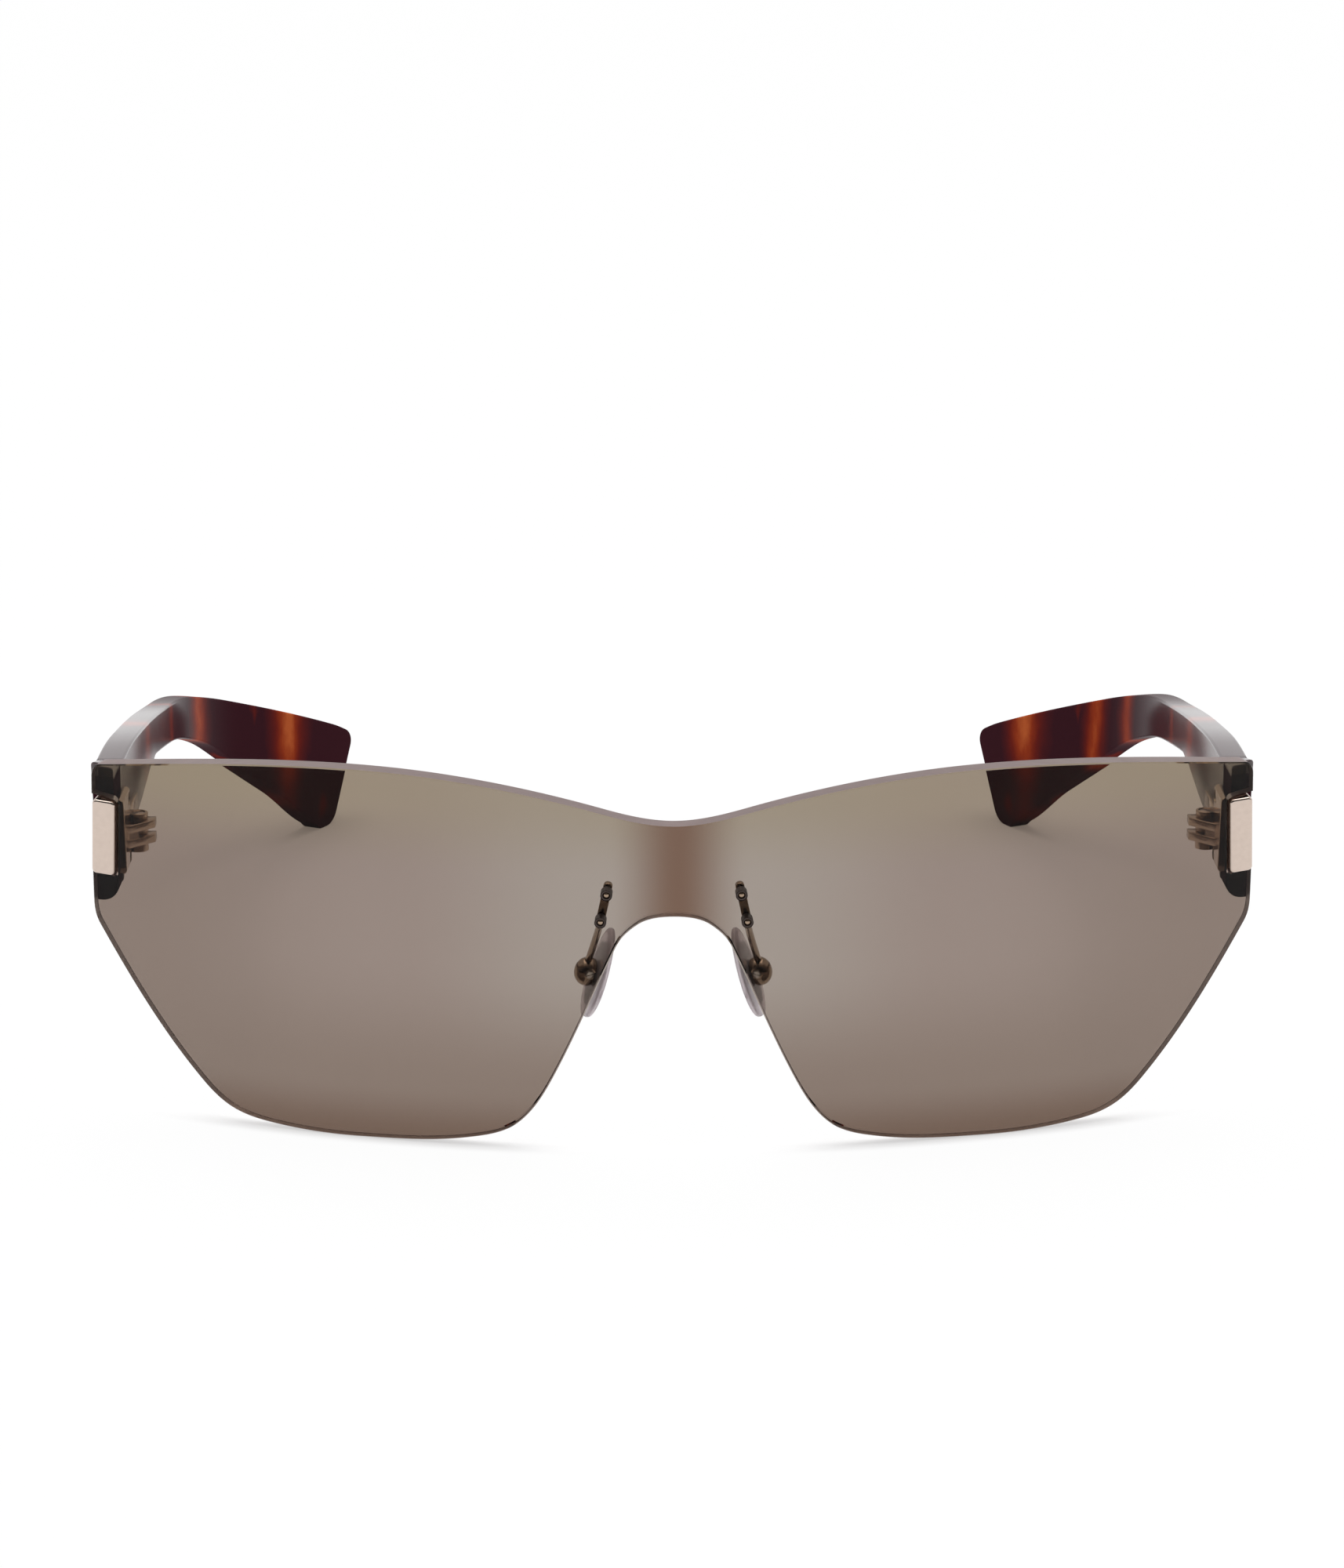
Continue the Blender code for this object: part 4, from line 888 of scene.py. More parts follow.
def along_temple(along, outward, height):
    """Place at a distance along the bar, outward from its inner face, at a height."""
    heading = np.interp(along, plan_along, plan_heading)
    x = np.interp(along, plan_along, plan_x) + outward * np.cos(heading)
    y = np.interp(along, plan_along, plan_y) - outward * np.sin(heading)
    return np.stack([x, y, height], -1)


print("joint y in mm", round(JOINT_Y / MM, 3))

# %% Temple surface
TEMPLE_ROWS = 300
END_ROWS = 14
SIDE_CURVE_STEPS = 24
TEMPLE_EDGE = 0.38 * MM
FRONT_SOFTNESS = 0.25 * MM
TIP_LEAN = 3.2 * MM
LEAN_START = 95 * MM
LEAN_RUN = 35 * MM
TIP_ROUND = 2.4 * MM
TIP_SOFTNESS_SHARE = 0.21
TIP_MARGIN = 0.10 * MM

TEMPLE_TOP_SHARES = (
    (0.000, 1.000, 0.0),
    (0.056, 0.996, -3.0),
    (0.181, 0.945, -9.5),
    (0.328, 0.862, -10.8),
    (0.516, 0.744, -11.2),
    (0.645, 0.668, -14.0),
    (0.740, 0.583, -18.0),
    (0.955, 0.346, -21.0),
    (1.000, 0.280, -26.0),
)
TEMPLE_LOW_SHARES = (
    (0.000, 0.650, 34.0),
    (0.042, 0.722, 14.0),
    (0.139, 0.747, 1.0),
    (0.293, 0.751, 0.0),
    (0.321, 0.744, -11.0),
    (0.502, 0.628, -11.8),
    (0.620, 0.547, -16.0),
    (0.704, 0.453, -27.0),
    (0.753, 0.361, -32.0),
    (0.843, 0.184, -32.0),
    (0.917, 0.020, -28.0),
    (0.926, 0.000, 0.0),
    (1.000, 0.000, 0.0),
)
temple_top = knot_curve(TEMPLE_TOP_SHARES, TEMPLE_LENGTH, ENDPIECE_TOP, SIDE_CURVE_STEPS)
temple_low = knot_curve(TEMPLE_LOW_SHARES, TEMPLE_LENGTH, ENDPIECE_TOP, SIDE_CURVE_STEPS)


def section_lines():
    """Low and high point of each section, and how far rounding draws it in from the sides:
    a quarter circle at the joint and a larger one at the tip."""
    end = TEMPLE_LENGTH - TIP_LEAN - TIP_MARGIN
    front_draw, front = quarter_round(FRONT_SOFTNESS, END_ROWS)[:, ::-1]
    tip_draw, tip = quarter_round(TIP_ROUND, END_ROWS)
    body = np.linspace(FRONT_SOFTNESS, end - TIP_ROUND, TEMPLE_ROWS)[1:-1]
    middle = np.concatenate([front, body, end - tip])
    still = np.zeros(len(body))
    draw = np.concatenate([front_draw, still, tip_draw])
    side_draw = np.concatenate([front_draw, still, tip_draw * TIP_SOFTNESS_SHARE])
    lean = TIP_LEAN * smooth_step(middle, LEAN_START, LEAN_RUN)
    low = np.stack([middle - lean, np.interp(middle - lean, *temple_low.T)], -1)
    high = np.stack([middle + lean, np.interp(middle + lean, *temple_top.T)], -1)
    share = (draw / np.linalg.norm(high - low, axis=1))[:, None]
    return low + share * (high - low), high - share * (high - low), side_draw


def temple_rows():
    """Rings of the temple in the world and the same rings in the straight bar."""
    low, high, side_draw = section_lines()
    half_height = np.linalg.norm(high - low, axis=1) / 2
    half_width = ACETATE_THICKNESS / 2 - side_draw
    rings = np.array([
        rounded_outline(wide, tall, TEMPLE_EDGE, steps=7)
        for wide, tall in zip(half_width, half_height)
    ])
    share = 0.5 + 0.5 * rings[..., 1] / half_height[:, None]
    along = low[:, None, 0] + share * (high - low)[:, None, 0]
    height = low[:, None, 1] + share * (high - low)[:, None, 1]
    outward = ACETATE_THICKNESS / 2 + rings[..., 0]
    return along_temple(along, outward, height), np.stack([along, outward, height], -1)


def acetate_pair(kind, rings, bar):
    """Left and right skin of the rings. Each vertex keeps its place in the straight bar, in
    centimetres, for the pattern."""
    places = np.concatenate([bar.reshape(-1, 3), [bar[0].mean(0), bar[-1].mean(0)]]) * 100.0
    pair = {name: skin(rings, side, name=f"{name}_acetate_{kind}") for side, name in SIDES}
    for piece in pair.values():
        attribute = piece.data.attributes.new("bar_place", "FLOAT_VECTOR", "POINT")
        attribute.data.foreach_set("vector", places.astype(np.float32).ravel())
    return pair


temple_world, temple_bar = temple_rows()
temples = acetate_pair("temple", temple_world, temple_bar)
print("temple rings", temple_world.shape)

# %% [markdown]
# ## Endpieces
#
# Each endpiece is a block of the same acetate between the lens and the temple. Its front
# follows the bent, leaning back of the lens, so every point of its outline is carried from
# that surface to the flat joint behind, and a small round edge is drawn in at both ends. The
# metal base of the hinge is made by the same function.

# %% Endpiece surface
ENDPIECE_CORNER = 2.6 * MM
ENDPIECE_EDGE = 0.5 * MM
ENDPIECE_RISE = 1.1 * MM
ENDPIECE_SOFTNESS = 0.22 * MM
SEAT_GAP = 0.15 * MM
LEAST_CORNER = 0.05 * MM
STATIONS = 14
EASE_STEPS = 6


def block_behind_lens(sizes, radii, back_y, rise_top, softness):
    """Rings from a joint plane to the lens back: y goes from one to the other in even shares,
    and at both ends a quarter circle of the softness draws the outline in."""
    low_x, high_x, low_z, high_z = sizes
    ease, step = quarter_round(softness, EASE_STEPS)
    drawn = np.concatenate([ease[::-1], np.zeros(STATIONS), ease])
    share = np.concatenate([
        np.zeros(EASE_STEPS), np.linspace(0.0, 1.0, STATIONS + 2)[1:-1], np.ones(EASE_STEPS)
    ])
    push = np.concatenate([-step[::-1], np.zeros(STATIONS), step])
    rings = []
    for inward, part, pushed in zip(drawn, share, push):
        corners = [max(radius - inward, LEAST_CORNER) for radius in radii]
        x, z = block_outline(
            low_x + inward, high_x - inward, low_z + inward, high_z - inward, corners
        ).T
        z = z + rise_top * part * (z - low_z) / (high_z - low_z)
        front_y = behind_lens(x, z, LENS_THICKNESS + SEAT_GAP)
        rings.append(np.stack([x, back_y + part * (front_y - back_y) + pushed, z], -1))
    return np.array(rings)


endpiece_world = block_behind_lens(
    (INNER_X, INNER_X + ACETATE_THICKNESS, ENDPIECE_BOTTOM, ENDPIECE_TOP),
    (ENDPIECE_EDGE, ENDPIECE_EDGE, ENDPIECE_CORNER, ENDPIECE_EDGE),
    JOINT_Y, ENDPIECE_RISE, ENDPIECE_SOFTNESS,
)
endpiece_bar = np.stack([
    endpiece_world[..., 1] - JOINT_Y - JOINT_GAP,
    endpiece_world[..., 0] - INNER_X,
    endpiece_world[..., 2],
], -1)
endpieces = acetate_pair("block", endpiece_world, endpiece_bar)
print("endpiece rings", endpiece_world.shape)

# %% [markdown]
# ## Tortoise acetate
#
# Tortoise acetate is pressed from dark and amber pieces, so its colour goes right through the
# sheet in soft-edged blotches. The bar is cut so that they stand across it as upright bands.
# Each band is a bell curve along the straight bar, bent and broken up by stretched noise, and a
# short list puts the amber where it shows behind the lens. All mirroring comes from the coat: it
# covers the tops of the blocks, lies more thinly on the outer faces, and wraps the front half of
# the bars, from where it fades towards the tips, which look matt in the photograph.

# %% Acetate materials
# Centre and width of each band in centimetres along the bar, and its strength.
AMBER_BANDS_CM = {
    "left": ((7.45, 0.22, 0.50), (9.45, 0.26, 0.78), (12.35, 0.26, 1.0), (3.2, 0.34, 0.7)),
    "right": ((6.4, 0.24, 0.50), (9.8, 0.18, 0.68), (10.85, 0.22, 0.80), (12.85, 0.30, 1.0),
              (3.6, 0.34, 0.7)),
}
DARK_ACETATE = (0.034, 0.010, 0.014)
ACETATE_STOPS = (
    (0.10, DARK_ACETATE),
    (0.38, (0.115, 0.014, 0.010)),
    (0.70, (0.225, 0.031, 0.011)),
    (1.00, (0.370, 0.080, 0.024)),
)
WANDER = {"scale": 1.3, "detail": 3.0, "stretch": (0.55, 0.8, 0.5)}
PATCHES = {"scale": 1.9, "stretch": (0.9, 1.4, 0.5)}
CLOUDS = {"scale": 2.2, "detail": 4.0, "roughness": 0.6, "stretch": (2.0, 3.0, 1.1)}
WANDER_CM = 0.5
# Start and end of each rise, and what it gives there where that isn't 0 and 1.
PATCH_RISE = (0.58, 0.78, 0.0, 0.34)
FOOT_FADE = (0.6, 1.7, 0.3, 1.0)
FRONT_POLISH = (11.0, 4.5)
OUTER_POLISH = (0.33, 0.35, 0.0, 0.6)
TOP_POLISH = (4.49, 4.55)
BELL_POWER = 1.15
CLOUDING = (0.66, 1.26)
ACETATE_ROUGHNESS = (0.05, 0.10)
DENT_SCALE = 9.0
DENT_DEPTH = 0.004 * MM


def tortoise(name, bands, front_polish):
    """Dark acetate with soft upright amber bands. Its coat covers the top by the hinge, the
    outer face, and as much of the bar's front half as the front polish says."""
    material, tree, shader = new_finish(
        name, DARK_ACETATE, ACETATE_ROUGHNESS[0], IOR=1.49, Specular_IOR_Level=0.0,
        Coat_Roughness=0.18, Coat_IOR=1.7,
    )
    bar = axes(add(tree, "ShaderNodeAttribute", {"attribute_name": "bar_place"}, {}, "Vector"))
    along, depth, height = bar
    shifted = along + (noise(bar, **WANDER) - 0.5) * WANDER_CM
    clouds = noise(bar, **CLOUDS)
    amount = rise(noise(bar, **PATCHES), *PATCH_RISE)
    broken = rise(height, *FOOT_FADE) * between(clouds, *CLOUDING)
    for centre, width, strength in bands:
        offset = (shifted - centre) / width
        bell = strength / (1.0 + (offset * offset) ** BELL_POWER)
        amount = amount.larger(bell * broken)
    ramp = add(tree, "ShaderNodeValToRGB", {"stops": ACETATE_STOPS}, {0: amount}, "Color")
    drive(shader, "Base Color", ramp)
    drive(shader, "Roughness", between(clouds, *ACETATE_ROUGHNESS))
    polish = rise(along, *FRONT_POLISH) * front_polish
    polish = polish.larger(rise(depth, *OUTER_POLISH)).larger(rise(height, *TOP_POLISH))
    drive(shader, "Coat Weight", polish)
    dented(shader, noise(bar, DENT_SCALE), DENT_DEPTH)
    return material


for name, bands in AMBER_BANDS_CM.items():
    finish = tortoise(f"{name}_tortoise_temple", bands, 1.0)
    dress(temples[name], f"{name}_temple", "tortoise_acetate", finish, f"{name}_temple")
    finish = tortoise(f"{name}_tortoise_block", bands, 0.0)
    dress(endpieces[name], "front", "tortoise_acetate", finish, f"{name}_endpiece")
print("bands", {name: len(bands) for name, bands in AMBER_BANDS_CM.items()})

# %% [markdown]
# ## Metal and clear finishes
#
# The plates and hinges are plated in a pale pinkish gold and polished. The pad arms take a darker
# copy of that gold as painted shade, for their place behind the lens. The small screws are bare
# steel, and the pads clear silicone round dark inserts, whose near-black is partly painted shade.
# The clear sleeves are coloured dark brown as painted shade of the pin holes behind the lens. Each
# finish carries a faint haze: one noise leads both its colour and its roughness from a first value
# to a second.

# %% Metal, silicone and nylon materials
WORN_SHARE = 0.88
SCRATCH_STRETCH = (1.0, 0.3, 6.0)


def hazy(name, colours, roughness, scale, detail=2.0, metallic=0.0, **fixed):
    """Finish whose noise leads its colour and roughness from the first value to the second."""
    material, tree, shader = new_finish(name, colours[0], roughness[0], metallic, **fixed)
    place = object_place(tree)
    haze = noise(place, scale, detail)
    drive(shader, "Roughness", between(haze, *roughness))
    drive(shader, "Base Color", mix(haze, *colours))
    return material, shader, place


def metal(name, colour, roughness, scale, scratch):
    """Polished metal: a haze towards a darker colour, and fine lines in the surface."""
    worn = [part * WORN_SHARE for part in colour]
    material, shader, place = hazy(name, (colour, worn), roughness, scale, 3.0, 1.0)
    dented(shader, noise(place, scale * 2.0, stretch=SCRATCH_STRETCH), scratch)
    return material


gold_finish = metal("pale_gold", (0.61, 0.505, 0.44), (0.07, 0.15), 1400.0, 0.0004 * MM)
hinge_finish = metal("hinge_gold", (0.58, 0.46, 0.36), (0.10, 0.20), 1800.0, 0.0006 * MM)
steel_finish = metal("steel", (0.56, 0.52, 0.47), (0.16, 0.30), 2200.0, 0.0006 * MM)
# A darker copy of the gold, as painted shade of the arms behind the lens.
arm_painted_shade_finish = metal("arm_gold_painted_shade", (0.34, 0.25, 0.18), (0.06, 0.13), 1800.0, 0.0005 * MM)
# The insert's near-black is partly its own dark metal and partly painted shade of the pad behind
# the lens.
insert_and_painted_shade_finish = metal("dark_insert_and_painted_shade", (0.040, 0.026, 0.022), (0.20, 0.32), 2000.0, 0.0004 * MM)
silicone_finish, _, _ = hazy(
    "clear_silicone", ((0.85, 0.76, 0.79), (0.76, 0.68, 0.71)), (0.02, 0.06), 700.0,
    Transmission_Weight=0.6, IOR=1.41,
)
# Clear sleeves, coloured dark brown as painted shade of the pin holes behind the lens.
nylon_and_painted_shade_finish, _, _ = hazy(
    "nylon", ((0.12, 0.09, 0.08), (0.07, 0.055, 0.05)), (0.26, 0.42), 1500.0,
    Specular_IOR_Level=0.1,
)
# The walls of the pin holes take this dark colour as painted shade in the holes.
lens.data.materials.append(nylon_and_painted_shade_finish)
print("metal, silicone and nylon ready; the walls of the pin holes show the nylon's colour")

# %% [markdown]
# ## Corner plates
#
# Each plate is a small polished block. Its flat face shows the studio as one pale sheet, and
# the narrow round bevel catches the lights as thin bright lines, so the bevel is a true
# quarter circle: each ring steps in and up by the cosine and sine of one angle.

# %% Plate surface
PLATE_BEVEL = 0.32 * MM
STUD_RADIUS = 0.45 * MM
STUD_LENGTH = 1.5 * MM
STUD_SPACING = 6.0 * MM
STUD_OVERLAP = 0.5 * MM
STUD_TIP_RADIUS = STUD_RADIUS * 0.8
STUD_TIP_START = STUD_LENGTH * 0.93


def plate_rows():
    """Rings of the plate from its seat on the endpiece to its bevelled face."""
    face = PLATE_PROUD + PLATE_WIDTH / 2 * math.tan(PLATE_TURN)
    base = rounded_outline(PLATE_WIDTH / 2, PLATE_HEIGHT / 2, PLATE_CORNER, steps=10)
    rows = [np.column_stack([base, plate_seat(base[:, 0])])]
    for drawn, below in quarter_round(PLATE_BEVEL, steps=8).T:
        half_width = PLATE_WIDTH / 2 - drawn
        half_height = PLATE_HEIGHT / 2 - drawn
        ring = rounded_outline(half_width, half_height, PLATE_CORNER - drawn / 2, steps=10)
        rows.append(levelled(ring, [face - below])[0])
    return np.array(rows)


def stud_rows(up):
    """Rings of one stud behind the plate."""
    root = plate_seat(0.0)
    rows = lathe([
        (STUD_TIP_RADIUS, root - STUD_LENGTH),
        (STUD_RADIUS, root - STUD_TIP_START),
        (STUD_RADIUS, root + STUD_OVERLAP),
    ], sides=24)
    return rows + np.array([0.0, up, 0.0])


grids = [plate_rows(), stud_rows(-STUD_SPACING / 2), stud_rows(STUD_SPACING / 2)]
for side, name in SIDES:
    shells = [skin(grid, side, plate_place) for grid in grids]
    piece = merged(f"{name}_polished_plate", shells, CRISP_ANGLE)
    dress(piece, "front", "pale_gold", gold_finish, f"{name}_corner_plate")
print("plate bevel in mm", PLATE_BEVEL / MM)

# %% [markdown]
# ## Hinges
#
# Five short barrels share one upright screw: three belong to the temple and two prongs to the
# front. Each barrel is turned from a profile with soft rims. The leaf and the prongs are outlines
# raised between two heights and bevelled, so that their rims catch thin lines of light; the webs
# and the spine are raised the same way without a bevel.

# %% Hinge sizes
HINGE_X = INNER_X - 1.85 * MM
HINGE_Y = JOINT_Y + 1.5 * MM
HINGE_HEIGHT = 36.05 * MM
KNUCKLE_RADIUS = 1.27 * MM
KNUCKLE_GAP = 0.06 * MM
KNUCKLE_HEIGHTS = (1.15 * MM, 1.05 * MM, 0.73 * MM, 1.05 * MM, 0.80 * MM)
PRONG_REACH = 2.2 * MM
PRONG_NOSE = 1.0 * MM
PRONG_FALL = math.tan(math.radians(46.0))
SCREW_SHANK = 0.48 * MM
SCREW_HEAD = 0.85 * MM
HEAD_HEIGHT = 0.30 * MM
BASE_THICKNESS = 1.0 * MM
BASE_TOP = 42.4 * MM
BASE_BOTTOM = 32.3 * MM
LEAF_THICKNESS = 0.6 * MM
LEAF_LENGTH = 9.5 * MM
FIXING_SHANK = 0.45 * MM
FIXING_HEAD = 0.80 * MM
FIXING_DEPTH = 1.6 * MM
FIXING_MARGIN = 1.3 * MM
LEAF_FIXINGS = (("front", 3.8 * MM), ("rear", 7.6 * MM))
BLOCK_FIXINGS = (("lower", BASE_BOTTOM + FIXING_MARGIN), ("upper", BASE_TOP - FIXING_MARGIN))
FIXING_Y = JOINT_Y - FIXING_MARGIN
FIXING_RECESS = ((FIXING_HEAD * 1.07, -OVERRUN), (FIXING_HEAD * 1.07, HEAD_HEIGHT * 1.4))
BASE_X = INNER_X - SEAT_GAP - BASE_THICKNESS
BASE_CORNERS = (0.2 * MM, 0.6 * MM, 0.6 * MM, 0.2 * MM)
BASE_SOFTNESS = 0.12 * MM

stack = sum(KNUCKLE_HEIGHTS) + KNUCKLE_GAP * (len(KNUCKLE_HEIGHTS) - 1)
levels = []
level = HINGE_HEIGHT - stack / 2
for height in KNUCKLE_HEIGHTS:
    levels.append((level, level + height))
    level += height + KNUCKLE_GAP
print("barrel levels in mm", [round(low / MM, 2) for low, high in levels])

# %% Screws
# Shares of the head's height for the dome, the rim's slant and the slot's depth.
DOME_SHARE = 0.35
SLANT_SHARE = 0.8
SLOT_DEPTH_SHARE = 0.62
# Shares of the head's radius for the rim, and for the slot's half length, half width and corner.
RIM_SHARE = 0.94
SLOT_SHARES = (0.82, 0.13, 0.05)
# Shares of the shank's length and radius where its end narrows.
SHANK_SLANT_SHARE = 0.96
SHANK_TIP_SHARE = 0.75
SLOT_TURN = 0.6
screws = []


def screw_profile(head, shank, length):
    """Profile of a screw along Z: a low dome, the head's wall, then the shank and its end."""
    angle = np.linspace(SMALL_POLE_GAP, math.pi / 2, 8)
    dome = HEAD_HEIGHT * DOME_SHARE * (1.0 - np.cos(angle))
    return np.concatenate([
        np.column_stack([head * np.sin(angle), dome]),
        [(head, HEAD_HEIGHT * SLANT_SHARE), (head * RIM_SHARE, HEAD_HEIGHT)],
        [(shank, HEAD_HEIGHT), (shank, HEAD_HEIGHT + length * SHANK_SLANT_SHARE)],
        [(shank * SHANK_TIP_SHARE, HEAD_HEIGHT + length)],
    ])


def add_screw(name, matrix, side, sizes, length, ride, slots=1):
    """Turned screw with one slot or a cross in its head, by its head's and shank's radius."""
    piece = skin(lathe(screw_profile(*sizes, length), sides=48), side, matrix, name)
    slot = rounded_outline(*[sizes[0] * share for share in SLOT_SHARES], steps=3)
    slot = levelled(slot, (-HEAD_HEIGHT, HEAD_HEIGHT * SLOT_DEPTH_SHARE))
    spins = [Matrix.Rotation(SLOT_TURN + turn * math.pi / 2, 4, "Z") for turn in range(slots)]
    cut(piece, [skin(slot, side, matrix @ spin) for spin in spins])
    screws.append(dress(smoothed(piece, CRISP_ANGLE), *ride))


for side, name in SIDES:
    for place, height in BLOCK_FIXINGS:
        start = (BASE_X + KNUCKLE_GAP, FIXING_Y, height)
        add_screw(
            f"{name}_slotted_screw_{place}", aimed(start, (1, 0, 0)), side,
            (FIXING_HEAD, FIXING_SHANK), INNER_X + FIXING_DEPTH - start[0] - HEAD_HEIGHT,
            ("front", "steel", steel_finish, f"{name}_block_screw_{place}"),
        )
    for place, along in LEAF_FIXINGS:
        head_x = INNER_X - SEAT_GAP - LEAF_THICKNESS
        start = (head_x - HEAD_HEIGHT - KNUCKLE_GAP, HINGE_Y + along, HINGE_HEIGHT)
        add_screw(
            f"{name}_slotted_leaf_screw_{place}", aimed(start, (1, 0, 0)), side,
            (FIXING_HEAD, FIXING_SHANK), INNER_X + FIXING_DEPTH - head_x,
            (f"{name}_temple", "steel", steel_finish, f"{name}_leaf_screw_{place}"),
        )
    top = levels[4][1] - KNUCKLE_GAP / 2
    add_screw(
        f"{name}_slotted_hinge_screw", aimed((HINGE_X, HINGE_Y, top), (0, 0, -1)), side,
        (SCREW_HEAD, SCREW_SHANK), top - HEAD_HEIGHT - levels[0][0],
        (f"{name}_temple", "pale_gold", gold_finish, f"{name}_hinge_screw"),
    )
print("hinge screws made", len(screws))

# %% Barrels, leaf and prongs
BARREL_RIM = 0.10 * MM
PRONG_RIM = 0.06 * MM
HEAD_CLEARANCE = 0.06 * MM
RECESS_BEVEL = 0.04 * MM
WEB_CLEARANCE = 0.08 * MM
WEB_SIDE = KNUCKLE_RADIUS * 1.1
WEB_BACK = KNUCKLE_RADIUS * 0.98
WEB_INSET = 0.02 * MM
LEAF_CORNER = 0.1 * MM
SPINE_OFFSET = 0.35 * MM
SPINE_STEP = 0.12 * MM
SPINE_INSET = 0.2 * MM


def barrel_profile(low, high, recess):
    """Profile of a barrel: soft rims, and a recess for the screw's head where one is given."""
    ease, short = quarter_round(BARREL_RIM, steps=5)
    lower = np.column_stack([KNUCKLE_RADIUS - short, low + ease])
    upper = np.column_stack([KNUCKLE_RADIUS - short, high - ease])[::-1]
    rows = [[(SCREW_SHANK * 0.5, low)], lower, upper]
    if recess:
        floor = high - HEAD_HEIGHT - KNUCKLE_GAP
        radius = SCREW_HEAD + HEAD_CLEARANCE
        rows.append([(radius + RECESS_BEVEL, high), (radius, high - RECESS_BEVEL), (radius, floor)])
        high = floor
    return np.concatenate([*rows, [(SCREW_SHANK * 0.5, high)]])


def barrel_arm():
    """Plan of the web that joins a barrel to the leaf, clear of the screw's head."""
    clear = SCREW_HEAD + WEB_CLEARANCE
    side_x = HINGE_X + WEB_SIDE
    back_y = HINGE_Y + WEB_BACK
    return np.array([
        (HINGE_X, HINGE_Y + clear),
        (HINGE_X + clear * math.sqrt(0.5), HINGE_Y + clear * math.sqrt(0.5)),
        (HINGE_X + clear, HINGE_Y),
        (side_x, HINGE_Y),
        (side_x, back_y),
        (HINGE_X, back_y),
    ])


def temple_hinge_grids():
    """Leaf, three barrels and the webs that carry them."""
    high_x = INNER_X - SEAT_GAP
    sizes = (high_x - LEAF_THICKNESS, high_x, HINGE_Y, HINGE_Y + LEAF_LENGTH)
    leaf = block_outline(*sizes, LEAF_CORNER, steps=3)
    grids = [levelled(leaf, (levels[0][0], levels[4][1]))]
    for index in (0, 2, 4):
        low, high = levels[index]
        barrel = lathe(barrel_profile(low, high, index == 4))
        grids.append(barrel + np.array([HINGE_X, HINGE_Y, 0.0]))
        grids.append(levelled(barrel_arm(), (low + WEB_INSET, high - WEB_INSET)))
    return grids


def prong_front(x):
    """Y of the slanted front of the prongs at an X."""
    return HINGE_Y - PRONG_NOSE * 2 / 3 - (x - HINGE_X + PRONG_REACH) * PRONG_FALL


def prong_outline():
    """Plan of a prong: square root at the base, slanted front, round nose about the screw."""
    tip_x = HINGE_X - PRONG_REACH
    root_x = INNER_X - SEAT_GAP - BASE_THICKNESS / 2
    root_y = JOINT_Y - SEAT_GAP
    return np.concatenate([
        [(tip_x, prong_front(tip_x)), (root_x, prong_front(root_x))],
        [(root_x, root_y), (HINGE_X + PRONG_NOSE, root_y)],
        (HINGE_X, HINGE_Y) + PRONG_NOSE * around(quarter(12)),
        [(tip_x, HINGE_Y + PRONG_NOSE)],
    ])


def spine_outline():
    """Plan of the web between the prongs, kept clear of the middle barrel."""
    tip_x = HINGE_X - SPINE_OFFSET
    root_x = INNER_X - SEAT_GAP - BASE_THICKNESS / 2 - SPINE_STEP
    clear_y = HINGE_Y - KNUCKLE_RADIUS - SEAT_GAP
    return np.array([
        (tip_x, prong_front(tip_x) + SPINE_STEP),
        (root_x, prong_front(root_x) + SPINE_STEP),
        (root_x, clear_y),
        (tip_x, clear_y),
    ])


base_rows = block_behind_lens(
    (BASE_X, BASE_X + BASE_THICKNESS, BASE_BOTTOM, BASE_TOP),
    BASE_CORNERS, JOINT_Y - SEAT_GAP, 0.0, BASE_SOFTNESS,
)
prong = prong_outline()
spine = levelled(spine_outline(), (levels[1][0] + SPINE_INSET, levels[3][1] - SPINE_INSET))
for side, name in SIDES:
    shells = [skin(grid, side) for grid in temple_hinge_grids()]
    softened(shells[0], PRONG_RIM)
    piece = merged(f"{name}_barrel_hinge", shells)
    dress(piece, f"{name}_temple", "pale_gold", hinge_finish, f"{name}_temple_hinge")

    seats = [aimed((BASE_X, FIXING_Y, height), (1, 0, 0)) for place, height in BLOCK_FIXINGS]
    hole = lathe(FIXING_RECESS, sides=32)
    shells = [cut(skin(base_rows, side), [skin(hole, side, seat) for seat in seats])]
    for index in (1, 3):
        shells.append(softened(skin(levelled(prong, levels[index]), side), PRONG_RIM))
    shells.append(skin(spine, side))
    piece = merged(f"{name}_pronged_base", shells)
    dress(piece, "front", "pale_gold", hinge_finish, f"{name}_hinge_block")
print("hinges made")

# %% [markdown]
# ## Pad arms
#
# A flat bar behind the lens carries two pins, which sleeves hold in the lens. A round wire
# leaves the bar's foot and bends back to a ball-like box, which is cut flat towards the pad and
# has a slot for the pad's tab and a round recess for its small cross screw.

# %% Pad arm sizes
BAR_WIDTH = 1.1 * MM
BAR_THICKNESS = 0.9 * MM
BAR_OVERHANG = 1.0 * MM
BAR_CORNER = BAR_WIDTH / 2.2
PIN_RADIUS = 0.42 * MM
PIN_DOME = PIN_RADIUS * 0.7
SLEEVE_INNER = 0.48 * MM
SLEEVE_OUTER = 0.66 * MM
SLEEVE_RECESS = 0.05 * MM
WIRE_RADIUS = 0.44 * MM
WIRE_RISE = 3.0 * MM
WIRE_FOOT = BAR_OVERHANG * 0.6
BOX_CENTRE = Vector((10.7 * MM, 7.6 * MM + FRONT_Y, 21.4 * MM))
BOX_RADIUS = 1.65 * MM
BOX_STRETCH_SHARE = 1.13
BOX_WIRE_SHARE = 0.6
BOX_CUT = 0.65 * MM
